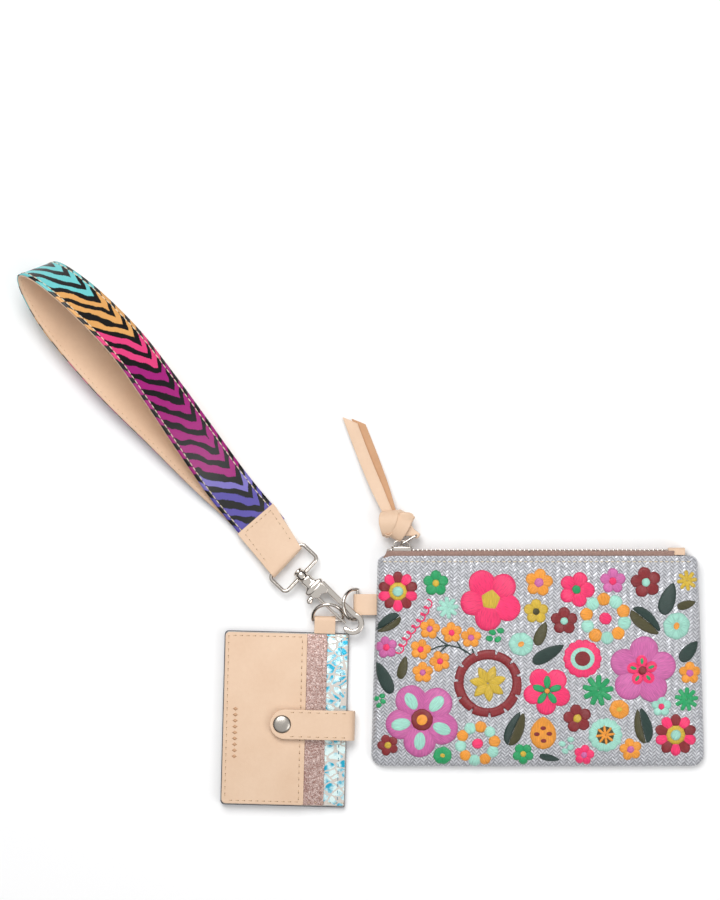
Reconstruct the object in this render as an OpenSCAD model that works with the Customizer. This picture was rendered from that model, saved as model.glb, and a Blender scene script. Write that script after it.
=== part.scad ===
/* [Pouch] */
// width of the pouch along its bottom edge
pouch_w = 190; // [150:1:235]
// height of the pouch from its bottom edge to its zip
pouch_h = 120; // [95:1:150]
// height of the crowned front at its fullest
pouch_t = 11.6; // [10.6:0.1:14]
// how much narrower the pouch is at the zip
pouch_taper = 8; // [0:1:14]
// radius of the two bottom corners
pouch_r = 7.5; // [4:0.5:16]

/* [Zip] */
// pitch of the zip teeth
tooth_pitch = 2.54; // [2.2:0.02:3]
// length of the slider body
slider_l = 12.4; // [10:0.2:15]
// length of the metal pull link
link_l = 10.2; // [8:0.2:13]
// length of the leather pull's tails
tail_l = 60.5; // [35:1:75]

/* [Card holder] */
// width of the card holder
holder_w = 71.4; // [62:0.1:86]
// height of the card holder
holder_h = 99.7; // [88:0.1:120]
// width of the snap tab
closure_w = 17; // [13:0.5:21]
// diameter of the snap cap
cap_d = 10.4; // [8.5:0.1:12.5]

/* [Hardware] */
// width of the two leather ring tabs
tab_w = 12; // [9:0.5:14]
// wire diameter of the two D rings
ring_wire = 2; // [1.6:0.1:2.2]
// mean radius of the two D rings
ring_r = 8.8; // [8.6:0.1:9.4]
// thickness of the hook's cast frame
hook_t = 3.2; // [2.6:0.1:3.4]

/* [Wrist strap] */
// width of the ribbon
ribbon_w = 25.4; // [20:0.2:25.8]
// thickness of each of the ribbon's two layers
ribbon_t = 0.8; // [0.5:0.1:0.9]
// length of the stitched leather tab
strap_tab_l = 36; // [28:1:44]

/* [Hidden] */
$fn = 48;

// everything is drawn about the pouch's side tab and moved so that the box is centred
mid_x = -0.52;
mid_y = 0.804;

// pouch: left bottom corner stays by the side tab when the size changes
skin = 1.4;
liner = 0.5;
pouch_x = 5.6 + 190 / 2 + (pouch_w - 190) / 2;
pouch_top = -11.2;
pouch_y = pouch_top - pouch_h;
edge_z = 2 * skin + 2 * liner;
zip_z = 5.7;
zip_y = pouch_top + 2.7;
top_half = (pouch_w - pouch_taper) / 2;
zip_x0 = pouch_x - top_half + 6.4;
zip_x1 = pouch_x + top_half - 14.6;

function bulge(t, n) = pow(max(0, 1 - pow(min(1, abs(t)), n)), 1 / n);
function corner_cut(d, r) = d >= r ? 0 : r - sqrt(max(0, r * r - (r - d) * (r - d)));
function half_w(v) = pouch_w / 2 - pouch_taper / 2 * v
  - corner_cut(v * pouch_h, pouch_r) - corner_cut((1 - v) * pouch_h, 4);
function rise(u, v) = bulge(1 - min(1, v / 0.9), 2.6) * bulge(u, 3 + 5 * v);
function front_z(u, v) = edge_z + (pouch_t - edge_z) * rise(u, v);
// steps bunch up towards the edges
function spread(t) = sin(90 * t);
cols = 34;
rows = 16;
function vv(j) = (1 - cos(180 * j / rows)) / 2;
function uu(i) = spread(2 * i / cols - 1);

module sheet(drop_hi, drop_lo) {
  n = cols + 1;
  hi = [for (j = [0:rows]) for (i = [0:cols])
    [pouch_x + uu(i) * half_w(vv(j)), pouch_y + pouch_h * vv(j), front_z(uu(i), vv(j)) - drop_hi]];
  lo = [for (j = [0:rows]) for (i = [0:cols])
    [pouch_x + uu(i) * half_w(vv(j)), pouch_y + pouch_h * vv(j), front_z(uu(i), vv(j)) - drop_lo]];
  m = n * (rows + 1);
  top = [for (j = [0:rows - 1]) for (i = [0:cols - 1]) each
    [[j * n + i, (j + 1) * n + i, j * n + i + 1], [j * n + i + 1, (j + 1) * n + i, (j + 1) * n + i + 1]]];
  bot = [for (f = top) [f[2] + m, f[1] + m, f[0] + m]];
  rim = concat([for (i = [0:cols - 1]) i], [for (j = [0:rows - 1]) j * n + cols],
    [for (i = [cols:-1:1]) rows * n + i], [for (j = [rows:-1:1]) j * n]);
  k = len(rim);
  side = [for (i = [0:k - 1]) each
    [[rim[i], rim[(i + 1) % k], rim[i] + m], [rim[(i + 1) % k], rim[(i + 1) % k] + m, rim[i] + m]]];
  polyhedron(concat(hi, lo), concat(top, bot, side));
}

module outline() {
  right = [for (j = [0:rows]) [pouch_x + half_w(vv(j)), pouch_y + pouch_h * vv(j)]];
  left = [for (j = [rows:-1:0]) [pouch_x - half_w(vv(j)), pouch_y + pouch_h * vv(j)]];
  polygon(concat(right, left));
}

module pouch_front_panel() {
  color("silver") sheet(0, skin);
}

module pouch_back_panel() {
  color("silver") linear_extrude(skin) outline();
}

module pouch_lining_front() {
  color("tan") sheet(skin, skin + liner);
}

module pouch_lining_back() {
  color("tan") translate([0, 0, skin]) linear_extrude(liner) outline();
}

// zip tape: sewn at the panel's top edge, bent over to the row of teeth
module zip_tape_front() {
  color("rosybrown") translate([zip_x0 - 3, 0, 0]) rotate([90, 0, 90])
    linear_extrude(zip_x1 - zip_x0 + 6)
      polygon([[pouch_top + 0.02, pouch_t - 1.5], [pouch_top + 0.02, pouch_t - 0.9],
        [zip_y + 0.3, zip_z + 5.2], [zip_y + 0.3, zip_z + 1.8],
        [zip_y - 0.3, zip_z + 1.8], [zip_y - 0.3, zip_z + 4.7]]);
}

module zip_tape_back() {
  color("rosybrown") translate([zip_x0 - 3, 0, 0]) rotate([90, 0, 90])
    linear_extrude(zip_x1 - zip_x0 + 6)
      polygon([[pouch_top + 0.02, 0.6], [pouch_top + 0.02, 0.1],
        [zip_y + 0.3, 0.1], [zip_y + 0.3, zip_z - 1.8],
        [zip_y - 0.3, zip_z - 1.8], [zip_y - 0.3, 0.6]]);
}

tooth_h = 2.4;
teeth = floor((zip_x1 - zip_x0) / tooth_pitch) - 1;
module tooth_row(side) {
  translate([zip_x0, zip_y + tooth_h / 2, zip_z]) rotate([90, 0, 0]) difference() {
    linear_extrude(tooth_h) union() {
      translate([0, side > 0 ? 1.75 : -2.75]) square([teeth * tooth_pitch, 1]);
      for (i = [0:teeth - 1])
        translate([(i + (side > 0 ? 0.1 : 0.55)) * tooth_pitch, side > 0 ? 0.55 : -2])
          square([1.2, 1.45]);
    }
    translate([-1, side > 0 ? 1.8 : -6, tooth_h / 2 - 0.3]) cube([teeth * tooth_pitch + 2, 4.2, 0.6]);
  }
}

module zip_teeth_front() {
  color("silver") tooth_row(1);
}

module zip_teeth_back() {
  color("silver") tooth_row(-1);
}

module zip_stops() {
  color("silver") for (x = [zip_x0 - 1.6, zip_x0 + teeth * tooth_pitch + 0.1])
    translate([x, zip_y - 1.2, zip_z - 1.7]) cube([1.4, 2.4, 3.4]);
}

module zip_end_tab() {
  color("bisque") translate([zip_x0 + teeth * tooth_pitch + 1.6, zip_y - 2.2, zip_z - 3.4])
    difference() {
      cube([9.6, 4.2, 7.6]);
      translate([-1, 1.85, -1]) cube([20, 0.7, 2.7]);
      translate([-1, 1.85, 5.1]) cube([20, 0.7, 4]);
    }
}

// leather tab sewn into the side seam, looped round the ring's bar
bar_z = 2.6;
fit_r = ring_wire / 2 + 0.08;
tab_x = -2.5;
tab_y = -39.2;
module loop_tab(reach) {
  rotate([90, 0, 0]) difference() {
    union() {
      translate([0, 0, -tab_w / 2]) cylinder(r = 2.4, h = tab_w);
      translate([0, -2.1, -tab_w / 2]) cube([reach, 4.1, tab_w]);
    }
    translate([0, 0, -tab_w]) cylinder(r = fit_r, h = 2 * tab_w);
  }
}

side_edge = pouch_x - half_w((tab_y - pouch_y) / pouch_h);
module pouch_side_tab() {
  color("bisque") translate([tab_x, tab_y, bar_z]) loop_tab(side_edge - tab_x - 0.3);
}

slider_w = 7.8;
gap = 0.3;
slide_x = zip_x0 + 0.3;
module zip_slider() {
  y0 = zip_y - tooth_h / 2 - gap - 0.9;
  y1 = zip_y + tooth_h / 2 + gap;
  color("silver") {
    difference() {
      union() {
        for (y = [y0, y1]) translate([slide_x, y, zip_z - slider_w / 2]) cube([slider_l, 0.9, slider_w]);
        for (z = [-slider_w / 2, slider_w / 2 - 0.8]) translate([slide_x, y0, zip_z + z])
          cube([slider_l, y1 + 0.9 - y0, 0.8]);
        translate([slide_x + 0.4, y0, zip_z - 0.25]) cube([2.2, y1 + 0.9 - y0, 0.5]);
      }
      translate([slide_x - 1, zip_y - 0.6, zip_z - 8]) cube([slider_l + 2, 1.2, 5.5]);
      translate([slide_x - 1, zip_y - 0.6, zip_z + 2.5]) cube([slider_l + 2, 1.2, 5.5]);
    }
    translate([slide_x + 1.4, y1 + 0.9, zip_z - 1]) difference() {
      cube([9.6, 4.0, 2]);
      translate([1.2, -1, -1]) cube([7.2, 3.9, 4]);
    }
  }
}

link_x = slide_x + 6.2;
link_y = zip_y + tooth_h / 2 + gap + 0.9 + 1.5;
link_a = 31;
module zip_pull_link() {
  color("silver") translate([link_x, link_y, zip_z]) rotate([0, 0, link_a]) {
    for (x = [0, link_l]) translate([x, 0, -2.6]) cylinder(r = 0.7, h = 5.2);
    for (z = [-2.6, 2.6]) {
      translate([0, 0, z]) rotate([0, 90, 0]) cylinder(r = 0.7, h = link_l);
      for (x = [0, link_l]) translate([x, 0, z]) sphere(r = 0.7);
    }
  }
}

pull_x = link_x + link_l * cos(link_a);
pull_y = link_y + link_l * sin(link_a);
tail_a = 113;
module leather_pull() {
  color("bisque") translate([pull_x, pull_y, zip_z]) {
    difference() {
      union() {
        translate([0, 0, -1.6]) cylinder(r = 1.9, h = 3.2);
        rotate([0, 0, 152]) translate([0, -1.7, -1.5]) cube([11, 3.4, 3]);
      }
      translate([0, 0, -3]) cylinder(r = 0.78, h = 6);
    }
    intersection() {
      translate([-13, 6.4, 0.9]) sphere(r = 8);
      translate([-24, -3, -2.8]) cube([24, 20, 8.6]);
    }
    translate([-14.6, 8.6, 0.4]) rotate([0, 0, tail_a]) rotate([0, 4.1, 0])
      translate([0, -3.7, -0.7]) cube([tail_l, 7.4, 1.4]);
    translate([-13.6, 8.6, -0.9]) rotate([0, 0, tail_a - 4]) rotate([0, 3.1, 0])
      translate([0, -3.7, -0.7]) cube([tail_l - 3, 7.4, 1.4]);
  }
}

// D ring: straight bar on the Y axis, bow towards -X
module d_ring() {
  r = ring_wire / 2;
  leg = 2.5;
  translate([0, ring_r, 0]) rotate([90, 0, 0]) cylinder(r = r, h = 2 * ring_r);
  for (s = [-1, 1]) translate([0, s * ring_r, 0]) {
    sphere(r = r);
    rotate([0, -90, 0]) cylinder(r = r, h = leg);
  }
  translate([-leg, 0, 0]) rotate([0, 0, 90]) rotate_extrude(angle = 180) translate([ring_r, 0]) circle(r = r);
}

ring_tilt_a = 43.2;
module pouch_d_ring() {
  color("silver") translate([tab_x, tab_y, bar_z]) rotate([0, ring_tilt_a, 0]) d_ring();
}

// hook: axis along local +X, spine on +Y
hook_x = -34.62;
hook_y = -22.38;
hook_z = 5.15;
hook_a = -43.24;
hook_rise = 2.67;
module hook_place() {
  translate([hook_x, hook_y, hook_z]) rotate([0, 0, hook_a]) rotate([0, -hook_rise, 0]) children();
}

eye_x = 40.3;
eye_r = 5;
bar_w = 3.3;
pivot = [13.2, -2.6];
module hook_frame() {
  color("silver") hook_place() {
    difference() {
      union() {
        translate([2.9, 0, 0]) rotate([0, 90, 0]) cylinder(r = 3.8, h = 5.7);
        intersection() {
          translate([8.6, 0, 0]) rotate([0, 90, 0]) cylinder(r = 6.5, h = 3);
          translate([8, -7, -3.4]) cube([4, 14, 6.8]);
        }
        translate([11, -4.6, -2.4]) cube([5, 9.4, 4.8]);
        translate([pivot[0], pivot[1], -2.4]) cylinder(r = 2.8, h = 4.8);
      }
      translate([2, 0, 0]) rotate([0, 90, 0]) cylinder(r = 2, h = 6.2);
      translate([11.65, -9, -1.15]) cube([8, 9.6, 2.3]);
      translate([8, -9, -1.15]) cube([8, 4.4, 2.3]);
      translate([pivot[0], pivot[1], -3]) cylinder(r = 0.8, h = 6);
    }
    translate([11, 4.5 - bar_w / 2, -hook_t / 2]) cube([26.6, bar_w, hook_t]);
    translate([eye_x, 0, -hook_t / 2]) rotate([0, 0, -122]) rotate_extrude(angle = 240)
      translate([eye_r - bar_w / 2, 0]) square([bar_w, hook_t]);
  }
}

module swivel_post() {
  color("silver") hook_place() rotate([0, 90, 0]) {
    translate([0, 0, -3.7]) cylinder(r = 3.1, h = 1.3);
    translate([0, 0, -2.4]) cylinder(r = 2, h = 10.6);
  }
}

module gate_pin() {
  color("silver") hook_place() translate([pivot[0], pivot[1], -2.7]) cylinder(r = 0.8, h = 5.4);
}

module gate_spring() {
  color("gray") hook_place() translate([pivot[0], pivot[1], 0.72]) {
    difference() {
      cylinder(r = 1.4, h = 0.36);
      translate([0, 0, -1]) cylinder(r = 0.95, h = 3);
    }
    translate([-0.2, 1.2, 0]) cube([0.4, 2, 0.36]);
  }
}

gate_t = 1.3;
module hook_gate() {
  color("silver") hook_place() difference() {
    union() {
      translate([pivot[0], pivot[1], -gate_t / 2]) cylinder(r = 1.5, h = gate_t);
      translate([pivot[0], -3.6, -gate_t / 2]) cube([3.3, 1.9, gate_t]);
      translate([16.4, -3.6, -0.8]) cube([20.8, 1.6, 1.6]);
      translate([pivot[0] - 1, -6.4, -gate_t / 2]) cube([2.2, 3.4, gate_t]);
      translate([pivot[0] + 0.3, -7.6, -0.8]) cylinder(r = 1.9, h = 1.6);
    }
    translate([pivot[0], pivot[1], -3]) cylinder(r = 0.86, h = 6);
  }
}

// swivel loop: flat rectangle of wire with a boss for the post
loop_wire = 2.4;
loop_half = 13.55;
loop_back = -12.7;
loop_r = 1.7;
module swivel_loop() {
  r = loop_wire / 2;
  color("silver") hook_place() {
    translate([loop_back, loop_half - loop_r, 0]) rotate([90, 0, 0]) cylinder(r = r, h = 2 * (loop_half - loop_r));
    for (s = [-1, 1]) {
      translate([loop_back + loop_r, s * loop_half, 0]) rotate([0, 90, 0])
        cylinder(r = r, h = 0.3 - loop_back - 2 * loop_r);
      translate([loop_back + loop_r, s * (loop_half - loop_r), 0]) rotate([0, 0, s > 0 ? 90 : 180])
        rotate_extrude(angle = 90) translate([loop_r, 0]) circle(r = r);
      translate([0.3 - loop_r, s * (loop_half - loop_r), 0]) rotate([0, 0, s > 0 ? 0 : -90])
        rotate_extrude(angle = 90) translate([loop_r, 0]) circle(r = r);
    }
    difference() {
      union() {
        translate([0.3, loop_half - loop_r, 0]) rotate([90, 0, 0]) cylinder(r = r, h = 2 * (loop_half - loop_r));
        translate([-2.1, 0, 0]) rotate([0, 90, 0]) cylinder(r = 3.8, h = 4.7);
      }
      translate([-3, 0, 0]) rotate([0, 90, 0]) cylinder(r = 2.07, h = 8);
    }
  }
}

// strap tab: leather folded round the loop's back bar, gripping both ribbon ends
tunnel_r = 2.5;
tab_turn = -6;
tunnel_l = 2 * (loop_half - loop_r) - 0.6;
mouth_w = ribbon_w + 1.4;
ply_z = [2.2, 3.9];
grip_l = 15;
tab_lean = 2.4;
module strap_tab() {
  bx = hook_x + loop_back * cos(hook_rise) * cos(hook_a);
  by = hook_y + loop_back * cos(hook_rise) * sin(hook_a);
  bz = hook_z + loop_back * sin(hook_rise);
  far = strap_tab_l - 3.4;
  low = ply_z[0] - ribbon_t - 0.05;
  high = ply_z[1] + ribbon_t + 0.05;
  color("bisque") translate([bx, by, 0]) difference() {
    union() {
      rotate([0, 0, hook_a]) translate([0, tunnel_l / 2, bz]) rotate([90, 0, 0])
        cylinder(r = tunnel_r, h = tunnel_l);
      rotate([0, 0, hook_a + tab_turn]) linear_extrude(high + 1.1)
        polygon([[-1, -tunnel_l / 2], [-1, tunnel_l / 2], [-far + 4, mouth_w / 2 + tab_lean],
          [-far, mouth_w / 2 + tab_lean], [-far, tab_lean - mouth_w / 2],
          [-far + 4, tab_lean - mouth_w / 2]]);
    }
    rotate([0, 0, hook_a + tab_turn]) translate([-far - 1, -mouth_w, low])
      cube([grip_l + 1, 2 * mouth_w, high - low]);
    translate([0, 0, -3]) cube([200, 200, 6.4], center = true);
    rotate([0, 0, hook_a]) translate([0, 30, bz]) rotate([90, 0, 0])
      cylinder(r = loop_wire / 2 + 0.08, h = 60);
  }
}

// ribbon: stations along the loop from one end to the other, [along, across, height, tilt, skew]
along_a = 130.34;
along = [cos(along_a), sin(along_a)];
across = [sin(along_a), -cos(along_a)];
stations = [[36.2, -40, 2.2, 0, 0], [50, -40, 2.2, 0, 0], [62, -41, 2.4, 3, 0], [83, -43.8, 4.2, 12, 0],
  [119, -47.3, 6.2, 22, 0], [160, -51.6, 7.8, 30, 4], [200, -52.4, 8.9, 35, 10], [224, -49.5, 12.5, 38, 16],
  [236, -44, 22, 38, 18], [229, -38.5, 32, 38, 16], [205, -33.5, 37, 36, 11],
  [172, -31, 36, 35, 5], [140, -33, 29.5, 28, 0], [105, -36.5, 18.5, 16, 0],
  [78, -39.1, 9.2, 6, 0], [62, -39.9, 5.6, 2, 0],
  [50, -40, 3.9, 0, 0], [36.2, -40, 3.9, 0, 0]];
last = len(stations) - 1;
per = 6;
function st(i) = stations[max(0, min(last, i))];
function spline(a, b, c, d, t) = 0.5 * (2 * b + (c - a) * t + (2 * a - 5 * b + 4 * c - d) * t * t
  + (3 * b - a - 3 * c + d) * t * t * t);
function station(k) = let(i = min(last - 1, floor(k / per)), t = k / per - i)
  spline(st(i - 1), st(i), st(i + 1), st(i + 2), t);
function spot(k) = let(s = station(k)) [s[0] * along[0] + s[1] * across[0], s[0] * along[1] + s[1] * across[1], s[2]];
function wide(k) = let(s = station(k), w = cos(s[4]) * across - sin(s[4]) * along)
  [w[0] * cos(s[3]), w[1] * cos(s[3]), -sin(s[3])];
total = last * per;
function heading(k) = spot(min(total, k + 0.5)) - spot(max(0, k - 0.5));
function out(k) = let(n = cross(heading(k), wide(k))) n / norm(n);
module band(lo, hi) {
  pts = [for (k = [0:total]) let(c = spot(k), w = wide(k) * ribbon_w / 2, n = out(k)) each
    [c - w + n * lo, c + w + n * lo, c + w + n * hi, c - w + n * hi]];
  faces = [for (k = [0:total - 1]) for (q = [0:3]) let(a = 4 * k + q, b = 4 * k + (q + 1) % 4) each
    (q < 2 ? [[a, a + 4, b], [b, a + 4, b + 4]] : [[a, a + 4, b + 4], [a, b + 4, b]])];
  polyhedron(pts, concat([[0, 1, 2, 3]], faces, [[4 * total + 3, 4 * total + 2, 4 * total + 1, 4 * total]]));
}

module strap_print_band() {
  color("hotpink") band(0, ribbon_t);
}

module strap_lining_band() {
  color("bisque") band(-ribbon_t, 0);
}

// card holder: local X right, Y up, centred on the holder
card_x = -8.4 - holder_w / 2;
card_y = -54.75 - holder_h / 2;
card_a = -1.5;
module card_place() {
  translate([card_x, card_y, 0]) rotate([0, 0, card_a]) children();
}

patch = 0.9;
back_t = 1.4;
leaf = 1;
z_in = patch + back_t;
z_foil = z_in + leaf;
z_glit = z_foil + leaf;
z_front = z_glit + leaf;
front_t = 1.1;
z_face = z_front + front_t;
glit_w = holder_w * 0.823;
front_w = holder_w * 0.663;
cap_x = -1.55;
cap_y = -2.85;
module leaf_shape(w, r) {
  x = -holder_w / 2;
  y = -holder_h / 2;
  difference() {
    translate([x, y]) square([w, holder_h]);
    for (s = [0, 1]) translate([x, s ? y + holder_h - r : y]) difference() {
      square([r, r]);
      translate([r, s ? 0 : r]) circle(r = r);
    }
  }
}

module holder_back_panel() {
  color("midnightblue") card_place() translate([0, 0, patch]) linear_extrude(back_t) leaf_shape(holder_w, 3);
}

module holder_inner_panel() {
  color("tan") card_place() translate([0, 0, z_in]) linear_extrude(leaf) leaf_shape(holder_w, 3);
}

module foil_pocket() {
  color("lightgray") card_place() translate([0, 0, z_foil]) linear_extrude(leaf) leaf_shape(holder_w - 0.6, 3);
}

module glitter_pocket() {
  color("rosybrown") card_place() difference() {
    translate([0, 0, z_glit]) linear_extrude(leaf) leaf_shape(glit_w, 3);
    translate([cap_x, cap_y, z_front - 0.45]) cylinder(r = 3.4, h = 2);
  }
}

module front_pocket() {
  color("bisque") card_place() difference() {
    translate([0, 0, z_front]) linear_extrude(front_t) leaf_shape(front_w, 3);
    translate([cap_x, cap_y, z_front - 1]) cylinder(r = 1.2, h = 4);
  }
}

bar_x = -19.5;
bar_y = -48.1;
module holder_ring_tab() {
  top = card_y + holder_h / 2 - (bar_x - card_x) * tan(-card_a);
  color("bisque") translate([bar_x, bar_y, bar_z]) rotate([0, 0, card_a]) translate([-1.6, 0, 0])
    rotate([0, 0, -90]) loop_tab(bar_y - top - 0.05);
}

module card_d_ring() {
  color("silver") translate([bar_x, bar_y, bar_z]) rotate([0, 0, card_a]) rotate([0, 0, -90])
    rotate([0, 36.3, 0]) d_ring();
}

// snap tab: anchored strip wraps the right edge, the free strip bends at its top
stud_z = z_face;
tab_z = stud_z + 1.6;
tab_lin = 0.6;
tab_t = 1.1;
tab_top = tab_z + tab_lin + tab_t;
edge_u = holder_w / 2;
bend_u = edge_u - 0.6;
wrap_u = edge_u + 4.6;
module closure_anchor() {
  color("bisque") card_place() translate([0, cap_y + closure_w / 2, 0]) rotate([90, 0, 0])
    linear_extrude(closure_w) difference() {
      union() {
        translate([edge_u - 24, 0]) square([27, patch]);
        translate([edge_u + 0.4, 0]) square([wrap_u - edge_u - 3.4, tab_top]);
        translate([edge_u + 0.6, 3]) square([4, tab_top - 6]);
        translate([wrap_u - 3, 3]) circle(r = 3);
        translate([wrap_u - 3, tab_top - 3]) circle(r = 3);
        translate([edge_u + 0.4, 0]) square([1.4, patch]);
        translate([bend_u + 0.3, tab_z]) square([2.4, tab_top - tab_z]);
      }
      translate([edge_u - 30, patch]) square([29.7, 20]);
      translate([edge_u - 1, patch]) square([3.2, tab_z - patch]);
      translate([edge_u, patch + 1.3]) square([3.1, tab_z - patch - 2.6]);
      translate([wrap_u - 3, 3]) circle(r = 1.6);
      translate([wrap_u - 3, tab_top - 3]) circle(r = 1.6);
    }
}

free_u = -8.4;
module strip(z, t) {
  translate([0, 0, z]) linear_extrude(t) union() {
    translate([free_u + closure_w / 2, cap_y]) circle(d = closure_w);
    translate([free_u + closure_w / 2, cap_y - closure_w / 2]) square([bend_u - free_u - closure_w / 2, closure_w]);
  }
}

module closure_tab() {
  color("bisque") card_place() difference() {
    strip(tab_z + tab_lin, tab_t);
    translate([cap_x, cap_y, 0]) cylinder(r = 1.4, h = 30);
  }
}

module closure_tab_lining() {
  color("bisque") card_place() difference() {
    strip(tab_z, tab_lin);
    translate([cap_x, cap_y, 0]) cylinder(r = 1.4, h = 30);
  }
}

module snap_cap() {
  color("gray") card_place() translate([cap_x, cap_y, 0]) {
    translate([0, 0, tab_top]) intersection() {
      cylinder(d = cap_d, h = 2);
      translate([0, 0, 1.5 - 15]) sphere(r = 15, $fn = 96);
    }
    translate([0, 0, tab_z - 0.3]) cylinder(r = 1.4, h = tab_top - tab_z + 0.5);
  }
}

module snap_socket() {
  color("gray") card_place() translate([cap_x, cap_y, tab_z - 1.15]) difference() {
    cylinder(r = 4.2, h = 1.15);
    translate([0, 0, -1]) cylinder(r = 1.75, h = 1.85);
    translate([0, 0, 0.5]) cylinder(r = 1.4, h = 2);
  }
}

module snap_stud() {
  color("gray") card_place() translate([cap_x, cap_y, 0]) {
    translate([0, 0, stud_z]) cylinder(r = 3.4, h = 0.25);
    translate([0, 0, stud_z + 0.25]) cylinder(r = 1.65, h = 0.95);
  }
}

module snap_post() {
  color("gray") card_place() translate([cap_x, cap_y, 0]) {
    translate([0, 0, z_front - 0.4]) cylinder(r = 3.2, h = 0.4);
    translate([0, 0, z_front]) cylinder(r = 1.2, h = front_t);
  }
}

translate([-mid_x, -mid_y, 0]) {
  pouch_front_panel();
  pouch_back_panel();
  pouch_lining_front();
  pouch_lining_back();
  zip_tape_front();
  zip_tape_back();
  zip_teeth_front();
  zip_teeth_back();
  zip_stops();
  zip_end_tab();
  pouch_side_tab();
  zip_slider();
  zip_pull_link();
  leather_pull();
  pouch_d_ring();
  hook_frame();
  swivel_post();
  gate_pin();
  gate_spring();
  hook_gate();
  swivel_loop();
  strap_tab();
  strap_print_band();
  strap_lining_band();
  card_d_ring();
  holder_back_panel();
  holder_inner_panel();
  foil_pocket();
  glitter_pocket();
  front_pocket();
  holder_ring_tab();
  closure_anchor();
  snap_stud();
  snap_post();
  closure_tab();
  closure_tab_lining();
  snap_cap();
  snap_socket();
}
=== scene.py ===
import bpy, bmesh, random
from math import sin, cos, pi, radians, sqrt, atan2, hypot, floor
from mathutils import Vector, Matrix


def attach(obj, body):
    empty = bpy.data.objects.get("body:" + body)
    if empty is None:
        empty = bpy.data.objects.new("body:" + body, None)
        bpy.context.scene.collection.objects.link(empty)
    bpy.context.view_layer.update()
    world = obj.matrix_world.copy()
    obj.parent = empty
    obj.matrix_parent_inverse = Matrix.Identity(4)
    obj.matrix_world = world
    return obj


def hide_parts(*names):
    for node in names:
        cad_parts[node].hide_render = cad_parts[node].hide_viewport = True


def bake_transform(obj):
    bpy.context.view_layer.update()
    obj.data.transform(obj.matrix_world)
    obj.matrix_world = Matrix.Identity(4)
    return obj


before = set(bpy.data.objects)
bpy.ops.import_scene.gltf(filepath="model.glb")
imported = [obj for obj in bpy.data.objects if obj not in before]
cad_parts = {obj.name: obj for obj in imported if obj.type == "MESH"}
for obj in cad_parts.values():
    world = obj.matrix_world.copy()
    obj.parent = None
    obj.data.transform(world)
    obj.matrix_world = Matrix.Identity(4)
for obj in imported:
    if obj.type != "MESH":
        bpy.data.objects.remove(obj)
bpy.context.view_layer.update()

# ---- Camera, floor and light
# The set lies on a white table and is seen from straight above, lit by one large soft box behind it.
scene = bpy.context.scene
camera = bpy.data.objects.new("camera", bpy.data.cameras.new("camera"))
camera.data.sensor_fit = "VERTICAL"
camera.data.sensor_height = 24
camera.data.lens = 186.2
camera.location = (-0.0006, 0.0485, 4.0)
scene.collection.objects.link(camera)
scene.camera = camera
scene.view_settings.view_transform = "Standard"

world = bpy.data.worlds.new("studio")
scene.world = world
world.use_nodes = True
sky = world.node_tree
coord = sky.nodes.new("ShaderNodeTexCoord")
split = sky.nodes.new("ShaderNodeSeparateXYZ")
ramp = sky.nodes.new("ShaderNodeValToRGB")
for at, grey in ((0.0, 0.9), (0.46, 0.6), (0.51, 0.05), (0.74, 0.1), (0.85, 0.92), (1.0, 0.98)):
    stop = ramp.color_ramp.elements.new(at) if at not in (0.0, 1.0) else ramp.color_ramp.elements[int(at)]
    stop.color = (grey, grey, grey * 1.01, 1)
half = sky.nodes.new("ShaderNodeMath")
half.operation = "MULTIPLY_ADD"
half.inputs[1].default_value = 0.5
half.inputs[2].default_value = 0.5
sky.links.new(coord.outputs["Generated"], split.inputs[0])
sky.links.new(split.outputs["Z"], half.inputs[0])
sky.links.new(half.outputs[0], ramp.inputs[0])
sky.links.new(ramp.outputs[0], sky.nodes["Background"].inputs["Color"])
sky.nodes["Background"].inputs["Strength"].default_value = 0.8

for name, spot, turn, size, power in (
        ("soft_box", (-0.25, 0.75, 1.25), (-31, -11, 0), 0.9, 15.0),
        ("fill_box", (0.9, -0.5, 0.9), (35, 45, 0), 0.7, 4.0)):
    lamp = bpy.data.objects.new(name, bpy.data.lights.new(name, "AREA"))
    lamp.data.shape = "SQUARE"
    lamp.data.size = size
    lamp.data.energy = power
    lamp.location = spot
    lamp.rotation_euler = [radians(a) for a in turn]
    scene.collection.objects.link(lamp)

floor_mesh = bpy.data.meshes.new("floor")
floor_mesh.from_pydata([(-4, -4, 0), (4, -4, 0), (4, 4, 0), (-4, 4, 0)], [], [(0, 1, 2, 3)])
table = bpy.data.objects.new("floor", floor_mesh)
table.location.z = -0.0003
scene.collection.objects.link(table)
paper = bpy.data.materials.new("paper")
paper.use_nodes = True
paper.node_tree.nodes["Principled BSDF"].inputs["Base Color"].default_value = (0.93, 0.93, 0.93, 1)
paper.node_tree.nodes["Principled BSDF"].inputs["Roughness"].default_value = 0.9
table.data.materials.append(paper)


# ---- Pouch panels: embroidered crosshatch cloth
# Two pieces of coated cloth, turned over at the edge and sewn into a flat bag.
# The front stands up from its seam.
def add(tree, kind, settings=None, **inputs):
    n = tree.nodes.new("ShaderNode" + kind)
    for k, v in (settings or {}).items():
        setattr(n, k, v)
    for k, v in inputs.items():
        s = n.inputs[int(k[1:])] if k[0] == "i" and k[1:].isdigit() else n.inputs[k.replace("_", " ")]
        if isinstance(v, bpy.types.NodeSocket):
            tree.links.new(v, s)
        elif isinstance(v, bpy.types.Node):
            tree.links.new(v.outputs[0], s)
        else:
            s.default_value = v
    return n


def calc(tree, op, a, b=0.0, c=0.0):
    return add(tree, "Math", {"operation": op}, i0=a, i1=b, i2=c).outputs[0]


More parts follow.
